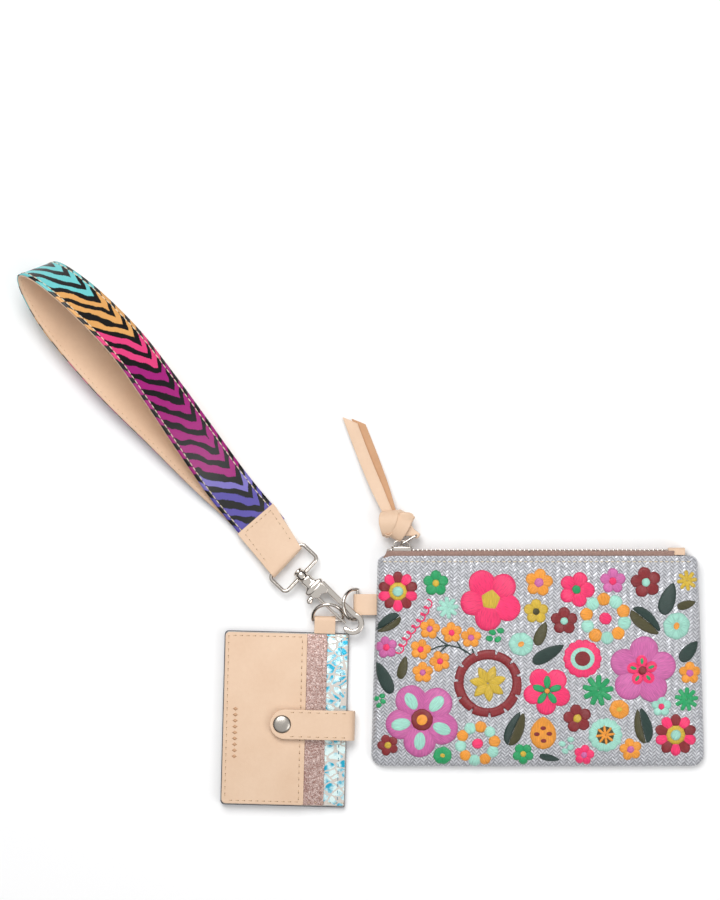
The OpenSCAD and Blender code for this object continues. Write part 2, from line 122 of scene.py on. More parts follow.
def group(name, ins, outs):
    g = bpy.data.node_groups.new(name, "ShaderNodeTree")
    for n, v in ins.items():
        kind = "NodeSocketColor" if isinstance(v, tuple) else "NodeSocketFloat"
        g.interface.new_socket(n, in_out="INPUT", socket_type=kind).default_value = v
    for n, kind in outs.items():
        g.interface.new_socket(n, in_out="OUTPUT", socket_type="NodeSocket" + kind)
    return g, g.nodes.new("NodeGroupInput"), g.nodes.new("NodeGroupOutput")


def use(tree, g, **inputs):
    n = tree.nodes.new("ShaderNodeGroup")
    n.node_tree = g
    for k, v in inputs.items():
        if isinstance(v, bpy.types.NodeSocket):
            tree.links.new(v, n.inputs[k])
        else:
            n.inputs[k].default_value = v
    return n


def finish(name, **values):
    m = bpy.data.materials.new(name)
    m.use_nodes = True
    p = m.node_tree.nodes["Principled BSDF"]
    for k, v in values.items():
        p.inputs[k.replace("_", " ")].default_value = v
    return m, m.node_tree, p


def bump(tree, p, height, distance, strength=1.0):
    b = add(tree, "Bump", None, Height=height, Distance=distance, Strength=strength)
    tree.links.new(b.outputs[0], p.inputs["Normal"])
    return b


def mix(tree, f, a, b):
    n = add(tree, "Mix", {"data_type": "RGBA"})
    for k, v in ((0, f), (6, a), (7, b)):
        if isinstance(v, bpy.types.NodeSocket):
            tree.links.new(v, n.inputs[k])
        else:
            n.inputs[k].default_value = v
    return n.outputs[2]


def rgb(*c):
    return tuple(((v / 255 + 0.055) / 1.055) ** 2.4 if v > 10 else v / 3295 for v in c) + (1,)


# crosshatch: two diagonal sets of ridges that pass over and under each other
hatch, gi, go = group("crosshatch", {"Pitch": 0.0021}, {"Height": "Float", "Fleck": "Float"})
xyz = add(hatch, "SeparateXYZ", None, Vector=add(hatch, "TexCoord").outputs["Object"])
wobble = add(hatch, "TexNoise", None, Vector=add(hatch, "TexCoord").outputs["Object"], Scale=160.0,
             Detail=2.0).outputs[0]
u = calc(hatch, "DIVIDE", calc(hatch, "ADD", xyz.outputs[0], xyz.outputs[1]), gi.outputs[0])
v = calc(hatch, "DIVIDE", calc(hatch, "SUBTRACT", xyz.outputs[0], xyz.outputs[1]), gi.outputs[0])
u = calc(hatch, "MULTIPLY_ADD", wobble, 0.06, u)
v = calc(hatch, "MULTIPLY_ADD", wobble, -0.06, v)
ru = calc(hatch, "ABSOLUTE", calc(hatch, "SINE", calc(hatch, "MULTIPLY", u, pi)))
rv = calc(hatch, "ABSOLUTE", calc(hatch, "SINE", calc(hatch, "MULTIPLY", v, pi)))
over = calc(hatch, "GREATER_THAN", calc(hatch, "SINE", calc(hatch, "MULTIPLY", calc(hatch, "ADD", calc(
    hatch, "FLOOR", u), calc(hatch, "FLOOR", v)), pi / 2 + 0.001)), 0.0)
ridge = calc(hatch, "ADD", calc(hatch, "MULTIPLY", over, ru),
             calc(hatch, "MULTIPLY", calc(hatch, "SUBTRACT", 1.0, over), rv))
cell = add(hatch, "CombineXYZ", None, X=calc(hatch, "FLOOR", u), Y=calc(hatch, "FLOOR", v))
speck = add(hatch, "TexWhiteNoise", {"noise_dimensions": "3D"}, Vector=cell.outputs[0]).outputs[0]
hatch.links.new(ridge, go.inputs[0])
hatch.links.new(speck, go.inputs[1])

silver_cloth, t, p = finish("silver_cloth", Roughness=0.42, Specular_IOR_Level=0.6, Sheen_Weight=0.25)
w = use(t, hatch)
# base colour: per-cell fleck tone times painted shade from the ridge height, darker in the grooves between
# the crosshatch ridges
shade = calc(t, "MULTIPLY", calc(t, "MULTIPLY_ADD", w.outputs[1], 0.4, 0.55),
             calc(t, "MULTIPLY_ADD", w.outputs[0], 0.8, 0.3))
t.links.new(mix(t, shade, rgb(86, 88, 96), rgb(214, 215, 220)), p.inputs["Base Color"])
t.links.new(calc(t, "MULTIPLY_ADD", calc(t, "GREATER_THAN", w.outputs[1], 0.82), 0.55, 0.12),
            p.inputs["Metallic"])
bump(t, p, w.outputs[0], 0.00022)

def finished(name, bm, material, body=None, stands_for=(), flat=False, merge=0.0, crease=0):
    if merge:
        bmesh.ops.remove_doubles(bm, verts=bm.verts, dist=merge)
        bmesh.ops.recalc_face_normals(bm, faces=bm.faces)
    bmesh.ops.scale(bm, vec=(0.001, 0.001, 0.001), verts=bm.verts)
    me = bpy.data.meshes.new(name)
    bm.to_mesh(me)
    bm.free()
    if not flat:
        me.polygons.foreach_set("use_smooth", [True] * len(me.polygons))
    if crease:
        me.set_sharp_from_angle(angle=radians(crease))
    me.materials.append(material)
    ob = bpy.data.objects.new(name, me)
    scene.collection.objects.link(ob)
    if body:
        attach(ob, body)
    if stands_for:
        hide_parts(*stands_for)
    return ob


def leathers(threaded=False):
    bm = bmesh.new()
    if threaded:
        bm.loops.layers.uv.new("thread")
        bm.verts.layers.float_color.new("dye_and_shade")
    return bm


def sheet(bm, across, along, place, thread=None):
    """A grid laid where place(s, t) says, s and t running 0 to 1; thread(s, t) gives its UV."""
    made = bmesh.ops.create_grid(bm, x_segments=across, y_segments=along, size=1.0)["verts"]
    uv = bm.loops.layers.uv.get("thread")
    for v in made:
        s, t = v.co.x / 2 + 0.5, v.co.y / 2 + 0.5
        v.co = place(s, t)
        if thread and uv:
            for loop in v.link_loops:
                loop[uv].uv = thread(s, t)
    return made


left, foot, wide, tall = 6.12, -132.0, 190.0, 120.0
mid = left + wide / 2


def half_width(v, inset=0.0):
    def cut(d, r):
        return 0 if d >= r else r - sqrt(max(0, r * r - (r - d) ** 2))
    return wide / 2 - 4 * v - cut(v * tall, 7.5) - cut((1 - v) * tall, 4.0)


def crown(x, y):
    v = min(1, max(0, (y - foot) / tall))
    u = min(1, abs(x - mid) / half_width(v))
    up = (max(0, 1 - (1 - min(1, v / 0.9)) ** 2.6)) ** (1 / 2.6)
    n = 3 + 5 * v
    soft = 0.16 * sin(x * 0.071 + 1.3) * sin(y * 0.093 + 0.4) + 0.1 * sin(x * 0.19 + y * 0.13)
    z = up * max(0, 1 - u ** n) ** (1 / n)
    return 3.8 + 7.8 * z + soft * z - 0.15


def front_skin(s, t):
    v = (1 - cos(pi * t)) / 2
    x, y = mid + sin(pi / 2 * (2 * s - 1)) * half_width(v), foot + tall * v
    return x, y, crown(x, y)


def turn_under(bm, steps):
    for out, drop in steps:
        edge = [e for e in bm.edges if e.is_boundary]
        made = bmesh.ops.extrude_edge_only(bm, edges=edge)["geom"]
        for v in [g for g in made if isinstance(g, bmesh.types.BMVert)]:
            x, y, z = v.co
            a, b = x - mid, y - (foot + tall / 2)
            away = hypot(a, b / 0.63)
            nx = a / away if abs(a) > half_width(min(1, max(0, (y - foot) / tall))) - 7 else 0
            ny = b / 0.63 / away if b < 7 - tall / 2 else 0
            v.co = x + nx * out, y + ny * out, z - drop


bm = leathers()
sheet(bm, 190, 110, front_skin)
turn_under(bm, ((0.25, 0.35), (0.32, 0.8), (0.1, 1.25), (-0.9, 1.6)))
finished("pouch_front", bm, silver_cloth, "pouch", ["pouch_front_panel"], merge=0.001)


def back_skin(s, t):
    v = (1 - cos(pi * t)) / 2
    x, y = mid + sin(pi / 2 * (2 * s - 1)) * half_width(v), foot + tall * v
    edge = min(half_width(v) - abs(x - mid), tall * v, tall * (1 - v))
    return x, y, 0.9 * max(0, 1 - edge / 3.5) ** 2.2


bm = leathers()
sheet(bm, 100, 60, back_skin)
back = finished("pouch_back", bm, silver_cloth, "pouch", ["pouch_back_panel"])
thick = back.modifiers.new("cloth", "SOLIDIFY")
thick.thickness = 0.0014
thick.offset = 1


# ---- Embroidery on the front panel
# Flowers, leaves, discs and stars in padded satin stitch.
# Rayon thread is laid side by side over a raised ground.
streaks, gi, go = group("laid_thread", {"Pitch": 0.42, "Fray": 1.0}, {"Height": "Float", "Tone": "Float"})
uv = add(streaks, "UVMap", {"uv_map": "thread"})
across = add(streaks, "SeparateXYZ", None, Vector=uv.outputs[0])
loose = add(streaks, "TexNoise", None, Vector=add(streaks, "CombineXYZ", None, X=calc(
    streaks, "MULTIPLY", across.outputs[0], 1.1), Y=calc(streaks, "MULTIPLY", across.outputs[1],
        0.35)).outputs[0], Scale=1.0, Detail=3.0)
turn = calc(streaks, "MULTIPLY_ADD", loose.outputs[0], 0.5, across.outputs[0])
round_top = calc(streaks, "ABSOLUTE", calc(streaks, "SINE",
                                           calc(streaks, "DIVIDE", calc(streaks, "MULTIPLY", turn, pi),
                                                gi.outputs[0])))
single = add(streaks, "TexNoise", None, Vector=add(streaks, "CombineXYZ", None, X=calc(
    streaks, "MULTIPLY", turn, 2.1), Y=calc(streaks, "MULTIPLY", across.outputs[1], 0.22)).outputs[0],
    Scale=1.0, Detail=2.0)
streaks.links.new(calc(streaks, "POWER", round_top, 0.6), go.inputs[0])
streaks.links.new(calc(streaks, "MULTIPLY_ADD", calc(streaks, "SUBTRACT", single.outputs[0], 0.5),
                       gi.outputs[1], 0.5), go.inputs[1])

rayon, t, p = finish("rayon_thread", Roughness=0.36, Specular_IOR_Level=0.5, Sheen_Weight=0.3,
                     Sheen_Roughness=0.4)
laid = use(t, streaks)
# the attribute holds each thread's dye times the painted shade towards the patch edges
dye = add(t, "Attribute", {"attribute_name": "dye_and_shade"}).outputs[0]
# colour: random streak tone plus painted shade, lighter on the thread tops and darker in the grooves between
# threads
streak_tone_and_groove_shade = calc(t, "MULTIPLY_ADD", laid.outputs[1], 0.9, calc(t, "MULTIPLY_ADD", laid.outputs[0], 0.22, 0.38))
t.links.new(add(t, "VectorMath", {"operation": "MULTIPLY"}, i0=dye,
                i1=add(t, "CombineXYZ", None, X=streak_tone_and_groove_shade, Y=streak_tone_and_groove_shade, Z=streak_tone_and_groove_shade).outputs[0]).outputs[0],
            p.inputs["Base Color"])
bump(t, p, laid.outputs[0], 0.00011)

DYES = {"pink": (250, 52, 112), "lilac": (208, 104, 168), "maroon": (136, 38, 43), "mint": (164, 222, 204),
        "orange": (244, 158, 54),
        "gold": (214, 180, 58), "green": (34, 162, 98), "forest": (36, 60, 54), "olive": (74, 70, 38)}
chance = random.Random(11)


def pad(points, middle=0.0):
    """One padded patch of stitches as a round dome, spun from its profile and kept to copy."""
    bm = bmesh.new()
    line = [bm.verts.new((r, 0, z)) for r, z in ((middle, 1), (0.12 if middle else 0.16, 0.997),
        (0.32, 0.98), (0.55, 0.9), (0.75, 0.72), (0.9, 0.42), (0.985, 0.08), (1.0, -0.45))]
    edges = [bm.edges.new(pair) for pair in zip(line, line[1:])]
    bmesh.ops.spin(bm, geom=line + edges, cent=(0, 0, 0), axis=(0, 0, 1), angle=2 * pi, steps=points,
                   use_merge=True)
    bmesh.ops.remove_doubles(bm, verts=bm.verts, dist=1e-6)
    bmesh.ops.recalc_face_normals(bm, faces=bm.faces)
    if sum(f.normal.z for f in bm.faces) < 0:
        bmesh.ops.reverse_faces(bm, faces=bm.faces)
    me = bpy.data.meshes.new("pad")
    bm.to_mesh(me)
    bm.free()
    return me


small_pad, large_pad, round_pad = pad(26), pad(44), pad(120)
sewn = leathers(threaded=True)


def patch(x, y, outline, colour, height=0.85, turn=0.0, lay="along", lift=0.0, kind=None, tilt=0.0,
          hole=None):
    """A patch at pouch point x, y (mm from its lower left corner); outline(angle) is its radius."""
    kind = kind or small_pad
    first, face0 = len(sewn.verts), len(sewn.faces)
    sewn.from_mesh(kind)
    sewn.verts.ensure_lookup_table()
    sewn.faces.ensure_lookup_table()
    uv, dye_and_shade = sewn.loops.layers.uv["thread"], sewn.verts.layers.float_color["dye_and_shade"]
    shade = chance.uniform(0.93, 1.05)
    dye = [c * shade for c in rgb(*DYES[colour])[:3]] + [1]
    seed = chance.uniform(0, 90)
    cx, cy = x + left, y + foot
    flat = {}
    for v in sewn.verts[first:]:
        r, a, z = hypot(v.co.x, v.co.y), atan2(v.co.y, v.co.x), v.co.z
        far = outline(a)
        if r > 0.95:
            far += 0.09 * sin(a * far * 5.1 + seed) + chance.uniform(-0.06, 0.06)
        inner = hole(a) if hole else 0.0
        d = inner + (far - inner) * r if hole else far * r
        rise = height * (z if not hole else (1 - abs(2 * r - 1) ** 2.6 if 0.01 < r < 1 else -0.4))
        px, py = cx + d * cos(a + turn), cy + d * sin(a + turn)
        v.co = px, py, crown(px, py) + lift + rise
        flat[v.index] = (d, a)
        # painted shade: each patch's thread colour darkens to 0.8 towards its sunken edge, as if shaded where
        # it meets the cloth
        deep = 0.80 + 0.20 * min(1, max(0, rise / height + 0.15))
        v[dye_and_shade] = [c * deep for c in dye]
    for f in sewn.faces[face0:]:
        turns = [flat[l.vert.index][1] for l in f.loops if flat[l.vert.index][0] > 1e-4]
        for l in f.loops:
            d, a = flat[l.vert.index]
            if lay == "round":
                if d < 1e-4:
                    a = sum(turns) / len(turns) if max(turns) - min(turns) < 3 else pi
                if max(turns) - min(turns) > 3 and a < 0:
                    a += 2 * pi
                l[uv].uv = a * (outline(0) * 0.62) + seed, d + seed
            else:
                px, py = d * cos(a + tilt), d * sin(a + tilt)
                l[uv].uv = py * (1 - 0.16 * px / outline(0)) + seed, px + seed


def oval(a, b, egg=0.08):
    return lambda t: a * b / hypot(b * cos(t), a * sin(t)) * (1 + egg * cos(t))


def inside_radius(inside, reach):
    """Outline of any shape that is seen whole from its middle."""
    table = []
    for k in range(240):
        a, low, high = 2 * pi * k / 240, 0.0, reach
        for _ in range(14):
            m = (low + high) / 2
            if inside(m * cos(a), m * sin(a)):
                low = m
            else:
                high = m
        table.append(low)

    def outline(a):
        k = a / (2 * pi) * 240
        i, f = floor(k), k - floor(k)
        return table[i % 240] * (1 - f) + table[(i + 1) % 240] * f
    return outline


def ring_of_petals(x, y, n, reach, a, b, colours, turn, height=0.85, lift=0.0, egg=0.08):
    for i in range(n):
        w = radians(turn) + 2 * pi * i / n
        size = chance.uniform(0.96, 1.04)
        patch(x + reach * cos(w), y + reach * sin(w), oval(a * size, b * size, egg),
              colours[i % len(colours)], height, w,
              lift=lift, kind=large_pad if a > 5 else small_pad, tilt=chance.uniform(-0.12, 0.12))


flowers = [
    (14.9, 99.7, 10.9, 10, ("maroon", "pink"), "mint", 3.4, 90, "gold_ring"),
    (173.8, 17.6, 11.5, 10, ("maroon", "pink"), "mint", 3.4, 90, "gold_ring"),
    (36.6, 104.4, 7.2, 5, ("green",), "gold", 2.1, 90, ""),
    (86.6, 6.7, 6.0, 5, ("green",), "gold", 1.8, 126, ""),
    (67.9, 95.0, 17.2, 5, ("pink",), "gold", 6.0, 46, ""),
    (95.5, 104.8, 7.7, 5, ("orange",), "lilac", 2.9, 82, ""),
    (93.9, 88.2, 6.9, 5, ("gold",), "olive", 2.1, 90, ""),
    (8.3, 67.7, 6.3, 5, ("lilac",), "pink", 2.1, 100, ""),
    (137.7, 105.6, 7.2, 5, ("lilac",), "pink", 2.3, 90, ""),
    (33.1, 78.3, 5.9, 5, ("orange",), "lilac", 1.9, 80, ""),
    (45.6, 76.1, 5.9, 5, ("orange",), "pink", 1.9, 95, ""),
    (56.7, 73.3, 5.9, 5, ("orange",), "lilac", 1.9, 88, ""),
    (27.9, 66.6, 5.9, 5, ("orange",), "pink", 1.9, 75, ""),
    (39.0, 59.8, 5.9, 5, ("orange",), "pink", 1.9, 110, ""),
    (29.1, 53.4, 5.9, 5, ("orange",), "lilac", 1.9, 90, ""),
    (28.7, 26.3, 20.6, 5, ("lilac",), "orange", 3.7, 48, "mint_petals"),
    (9.2, 11.7, 6.0, 5, ("maroon",), "gold", 2.1, 110, ""),
    (156.6, 104.9, 8.6, 5, ("maroon",), "mint", 2.6, 100, ""),
    (109.9, 82.8, 7.7, 5, ("maroon",), "mint", 2.3, 90, ""),
    (117.5, 27.1, 8.0, 5, ("maroon",), "gold", 2.5, 100, ""),
    (60.5, 12.6, 12.3, 10, ("orange", "mint"), "pink", 3.2, 80, "open"),
    (133.5, 84.2, 14.0, 10, ("orange", "mint"), "pink", 3.7, 95, "open"),
    (100.2, 42.8, 13.5, 5, ("pink",), "orange", 1.6, 50, "green_petals"),
    (116.9, 100.8, 10.0, 5, ("pink",), "green", 2.6, 70, ""),
    (154.6, 54.6, 18.9, 5, ("lilac",), "maroon", 2.6, 85, "pink_petals"),
    (181.8, 53.0, 6.3, 5, ("orange",), "lilac", 2.2, 90, ""),
    (148.0, 9.3, 6.3, 5, ("orange",), "lilac", 2.2, 100, ""),
    (165.5, 33.9, 5.7, 5, ("mint",), "pink", 1.9, 90, ""),
    (121.4, 6.1, 5.7, 5, ("pink",), "lilac", 1.9, 80, "")]
for x, y, r, n, colours, heart, core, turn, kind in flowers:
    if kind == "open":
        ring_of_petals(x, y, n, 0.75 * r, 0.27 * r, 0.275 * r, colours, turn, egg=0.16)
    elif n == 10:
        ring_of_petals(x, y, n, 0.68 * r, 0.33 * r, 0.27 * r, colours, turn, egg=0.16)
    else:
        ring_of_petals(x, y, n, 0.56 * r, 0.44 * r, 0.44 * r, colours, turn, height=0.7 + 0.03 * r, egg=0.1)
    if kind == "gold_ring":
        patch(x, y, oval(0.49 * r, 0.49 * r, 0), "gold", 1.0, lay="round", lift=0.2, kind=large_pad)
        core = 3.1
    if kind in ("mint_petals", "green_petals"):
        ring_of_petals(x, y, 5, (0.56 if kind[0] == "m" else 0.33) * r, 0.27 * r,
                       (0.175 if kind[0] == "m" else 0.14) * r,
                       (kind[:-7],), turn + (0 if kind[0] == "m" else 40), 0.6, 1.05, 0.14)
    if kind == "mint_petals":
        patch(x, y, oval(6.3, 6.3, 0), "maroon", 0.8, lay="round", lift=1.0, kind=large_pad)
    if kind == "pink_petals":
        ring_of_petals(x, y, 5, 5.4, 4.0, 3.3, ("pink",), turn + 8, 0.6, 0.85, 0.12)
        ring_of_petals(x, y, 5, 5.2, 1.9, 0.95, ("green",), turn + 8, 0.4, 1.35, 0.1)
        patch(x, y, oval(3.1, 3.1, 0), "pink", 0.5, lay="round", lift=1.1)
    patch(x, y, oval(core, core * 0.94, 0), heart, 0.75, turn=chance.uniform(0, 3),
          lift=0.05 if kind == "open" else 1.35 if kind else 0.5,
          lay="along")

for x, y, r, colour, heart, core in ((85.3, 69.6, 6.9, "mint", "orange", 2.4),
                                     (174.1, 80.0, 7.7, "mint", "orange", 2.7),
                                     (141.5, 32.3, 5.6, "orange", "gold", 2.1),
                                     (40.5, 5.8, 5.2, "green", "gold", 1.8)):
    patch(x, y, lambda t: r * (1 + 0.025 * cos(7 * t + x) + 0.03 * cos(2 * t + y)), colour, 0.9,
          lay="round", kind=large_pad)
    patch(x, y, oval(core, core * 0.8, 0), heart, 0.5, turn=x, lift=0.55)


def scalloped(r, n):
    return lambda t: r * (0.93 + 0.07 * abs(cos(n / 2 * t)))


patch(120.4, 61.3, scalloped(11.2, 14), "pink", 0.85, lay="round", kind=round_pad)
patch(120.4, 61.3, oval(7.5, 7.1, 0), "mint", 0.7, lay="round", lift=0.45, kind=large_pad)
patch(120.4, 61.3, oval(4.8, 4.6, 0), "maroon", 0.6, lift=0.85, kind=large_pad)
patch(133.5, 17.6, scalloped(9.9, 13), "mint", 0.85, lay="round", kind=round_pad)
patch(133.5, 17.6, oval(6.2, 6.2, 0), "olive", 0.6, lay="round", lift=0.4, kind=large_pad)


def bar(length, width, power=5):
    return lambda t: 1 / (abs(cos(t) / length) ** power + abs(sin(t) / width) ** power) ** (1 / power)


for x, y, r, n, colour, width, power in ((43.4, 90.4, 6.2, 8, "mint", 2.6, 5),
                                         (180.2, 105.9, 5.8, 8, "gold", 2.3, 5),
                                         (129.3, 43.1, 8.8, 9, "green", 3.3, 6),
                                         (179.9, 38.0, 6.8, 9, "green", 2.6, 6),
                                         (66.4, 47.1, 10.6, 7, "gold", 5.6, 1.4),
                                         (133.5, 17.6, 5.4, 8, "orange", 1.5, 4)):
    for i in range(n):
        w = 2 * pi * i / n + (0.3 if n == 7 else 0.12)
        patch(x + r * 0.52 * cos(w), y + r * 0.52 * sin(w), bar(r * 0.5, width / 2, power), colour,
              0.55 if n != 7 else 0.8, w,
              lift=0.9 if colour == "orange" else 0.0, tilt=pi / 2 if n != 7 else 0.5)


def leaf(length, width, side=0):
    def inside(x, y):
        t = 0.56 - x / length
        if not 0 < t < 1:
            return False
        edge = width * 0.5 * 2.0 * t ** 0.74 * (1 - t) ** 0.46
        if side:
            y = y + side * width * 0.25
            rib = 0.05 * width * sin(pi * t)
            return (rib < y < edge) if side > 0 else (-edge < y < rib)
        return abs(y) < edge
    return inside_radius(inside, length)


for x1, y1, x2, y2, width, colours in ((2.7, 59.8, 11.4, 41.2, 8.6, ("forest",)),
                                       (109.9, 69.0, 91.8, 59.0, 8.6, ("forest",)),
                                       (172.5, 104.9, 166.1, 86.4, 10.3, ("forest",)),
                                       (186.3, 71.3, 176.4, 59.8, 8.6, ("forest",)),
                                       (107.6, 3.2, 95.8, 5.7, 4.6, ("forest",)),
                                       (19.5, 62.9, 16.1, 49.5, 6.3, ("olive",)),
                                       (185.3, 93.7, 174.4, 90.5, 5.7, ("olive",)),
                                       (99.6, 82.5, 93.9, 68.8, 7.4, ("olive",)),
                                       (1.8, 76.8, 16.2, 85.9, 9.7, ("olive", "forest")),
                                       (86.6, 31.8, 77.9, 11.7, 11.5, ("forest", "olive")),
                                       (165.2, 75.2, 148.5, 89.6, 12.6, ("forest", "olive")),
                                       (152.7, 34.2, 157.1, 12.8, 11.5, ("olive", "forest"))):
    length, w = hypot(x1 - x2, y1 - y2), atan2(y1 - y2, x1 - x2)
    cx, cy = (x1 + x2) / 2 - 0.06 * (x1 - x2), (y1 + y2) / 2 - 0.06 * (y1 - y2)
    if len(colours) == 1:
        patch(cx, cy, leaf(length, width), colours[0], 0.7, w, kind=large_pad, tilt=0.7)
    else:
        for side, colour in ((1, colours[0]), (-1, colours[1])):
            off = side * width * 0.25
            patch(cx - off * sin(w), cy + off * cos(w), leaf(length, width, side), colour, 0.72, w,
                  kind=large_pad, tilt=0.75 * side)

for r, colour, spots in ((2.2, "green", ((68.9, 76.4), (73.5, 77.3), (67.2, 72.8), (72.0, 72.3))),
                         (1.8, "green", ((2.7, 38.4), (5.9, 39.9), (6.4, 36.8), (4.0, 34.5))),
                         (2.1, "mint", ((113.7, 15.0), (108.9, 12.5), (113.7, 10.5), (110.5, 8.3)))):
    for x, y in spots:
        patch(x, y, oval(r, r * 0.78, 0), colour, 0.7, turn=chance.uniform(-0.5, 0.9))

cuts = [2 * pi * k / 11 + 0.2 + chance.uniform(-0.06, 0.06) for k in range(11)]


def notched(a):
    near = min(((a - c + pi) % (2 * pi)) - pi for c in cuts if ((a - c + pi) % (2 * pi)) - pi >= -0.03)
    return 19.7 - 0.5 * near / 0.57 - (2.6 if near < 0.035 else 0)


patch(66.4, 47.1, notched, "maroon", 0.95, lay="round", kind=pad(264, 0.001),
      hole=lambda a: 13.6 + 0.25 * sin(3 * a))
patch(98.0, 17.9, inside_radius(lambda x, y: hypot(x / 7.6, y / 8.6) < 1 if y < 0 else abs(x) / 7.6 < max(
    0, 1 - (y / 10.4) ** 1.9) ** 0.72, 12), "orange", 0.9, kind=large_pad, tilt=pi / 2)
for dx, dy in ((0, 3.6), (-3.6, 0.2), (3.4, 0.4), (0.2, -3.6)):
    patch(98.0 + dx, 17.9 + dy, oval(1.7, 1.25, 0), "maroon", 0.4, lift=0.75)


def stem(points, width, colour, lift=0.0):
    """A line of narrow stitches as a run of short overlapping patches."""
    run = [Vector(p) for p in points]
    for a, b in zip(run, run[1:]):
        n = max(1, round((b - a).length / 1.5))
        for k in range(n):
            m = a.lerp(b, (k + 0.5) / n)
            patch(m.x, m.y, bar((b - a).length / n * 0.66, width / 2, 3), colour, 0.5,
                  atan2(b.y - a.y, b.x - a.x), tilt=pi / 2, lift=lift)


for line in (((58.6, 61.9), (54.4, 65.2), (50.0, 67.6), (43.7, 69.0), (37.9, 68.2), (33.4, 66.2)),
             ((43.7, 69.0), (40.1, 71.0), (37.2, 73.6)),
             ((54.0, 64.7), (50.9, 67.3), (48.7, 70.8)), ((43.7, 69.0), (41.2, 67.2), (39.1, 65.0)),
             ((58.6, 63.0), (57.4, 66.8))):
    stem(line, 0.85, "forest")
# a looped flourish, with no lettering in it
flourish = []
for k in range(97):
    a = k / 96 * 8 * 2 * pi
    along_it = k / 96 * 36.0
    wave = Vector((along_it - 1.5 * sin(a), 1.9 * cos(a) + 0.8 * sin(k / 15)))
    flourish.append((15.4 + wave.x * 0.50 - wave.y * 0.87, 64.6 + wave.x * 0.82 + wave.y * 0.42))
stem(flourish, 0.85, "pink")
finished("embroidery", sewn, rayon, "pouch")


# ---- Stitching, linings and the pouch's side tab
# Cream cotton thread in a lock stitch, 3 mm apart, through veg-tanned cowhide with its cut edges left bare.
def smooth(points, per=8, closed=False):
    n, run = len(points), []
    for i in range(n if closed else n - 1):
        q = [points[(i + k) % n] if closed else points[min(n - 1, max(0, i + k))] for k in (-1, 0, 1, 2)]
        for j in range(per):
            f = j / per
            run.append(tuple(0.5 * (2 * b + (c - a) * f + (2 * a - 5 * b + 4 * c - d) * f * f
                                    + (3 * b - a - 3 * c + d) * f ** 3)
                             for a, b, c, d in zip(*q)))
    return run if closed else run + [tuple(points[-1])]


def sweep(bm, stations, power=2.0, ring=16, closed=False, thread=False):
    """A strip, strap or wire along stations of (point, side, half width, half thickness)."""
    n = len(stations)
    spots = [Vector(s[0]) for s in stations]

    def place(s, t):
        k = round(t * n) % n if closed else round(t * (n - 1))
        after, before = (spots[(k + 1) % n], spots[k - 1]) if closed else (spots[min(n - 1, k + 1)],
            spots[max(0, k - 1)])
        run = (after - before).normalized()
        side = Vector(stations[k][1])
        side = (side - run * side.dot(run)).normalized()
        c, d = cos(2 * pi * s), sin(2 * pi * s)
        return spots[k] + side * stations[k][2] * (abs(c) ** (2 / power)) * (
            1 if c > 0 else -1) + run.cross(side) * stations[
            k][3] * (abs(d) ** (2 / power)) * (1 if d > 0 else -1)
    length = sum((b - a).length for a, b in zip(spots, spots[1:]))
    return sheet(bm, ring, n if closed else n - 1, place,
                 (lambda s, t: (s * 8, t * length)) if thread else None)


def close_ends(bm, merge=0.001):
    bmesh.ops.remove_doubles(bm, verts=bm.verts, dist=merge)
    bmesh.ops.holes_fill(bm, edges=[e for e in bm.edges if e.is_boundary], sides=0)
    bmesh.ops.recalc_face_normals(bm, faces=bm.faces)


def join(bm, part):
    me = bpy.data.meshes.new("part")
    part.to_mesh(me)
    part.free()
    bm.from_mesh(me)
    bpy.data.meshes.remove(me)


def cut_out(bm, outline, low, high, edge=0.25, place=None, segments=2, slices=()):
    """A flat blank cut to an outline, given its thickness and softened along its edges."""
    part = bmesh.new()
    face = part.faces.new([part.verts.new((x, y, low)) for x, y in outline])
    made = bmesh.ops.extrude_face_region(part, geom=[face])["geom"]
    bmesh.ops.translate(part, vec=(0, 0, high - low),
                        verts=[g for g in made if isinstance(g, bmesh.types.BMVert)])
    edges = [e for e in part.edges if abs(e.verts[0].co.z - e.verts[1].co.z) < 1e-6]
    if edge:
        bmesh.ops.bevel(part, geom=edges, offset=edge, segments=segments, profile=0.5, affect="EDGES",
                        material=-1, clamp_overlap=True)
    for at in slices:
        bmesh.ops.bisect_plane(part, geom=part.verts[:] + part.edges[:] + part.faces[:],
                               plane_co=(at, 0, 0), plane_no=(1, 0, 0))
    bmesh.ops.recalc_face_normals(part, faces=part.faces)
    if place:
        for v in part.verts:
            v.co = place(*v.co)
    join(bm, part)


def rounded(corners, radius, steps=5):
    """Outline of a polygon with its corners rounded; corners are (x, y) or (x, y, own radius)."""
    run, n = [], len(corners)
    for i, c in enumerate(corners):
        p, a, b = Vector(c[:2]), Vector(corners[i - 1][:2]), Vector(corners[(i + 1) % n][:2])
        r = c[2] if len(c) > 2 else radius
        u, w = (a - p).normalized(), (b - p).normalized()
        half = u.angle(w) / 2
        if r <= 0 or half > 1.55:
            run.append(tuple(p))
            continue
        middle = p + (u + w).normalized() * r / sin(half)
        start, end = p + u * r / math_tan(half) - middle, p + w * r / math_tan(half) - middle
        a0, a1 = atan2(start.y, start.x), atan2(end.y, end.x)
        a1 += 2 * pi * round((a0 - a1) / (2 * pi))
        run += [(middle.x + r * cos(a0 + (a1 - a0) * k / steps),
                 middle.y + r * sin(a0 + (a1 - a0) * k / steps)) for k in range(steps + 1)]
    return run


def math_tan(a):
    return sin(a) / cos(a)


cotton, t, p = finish("cotton_thread", Roughness=0.75, Sheen_Weight=0.2)
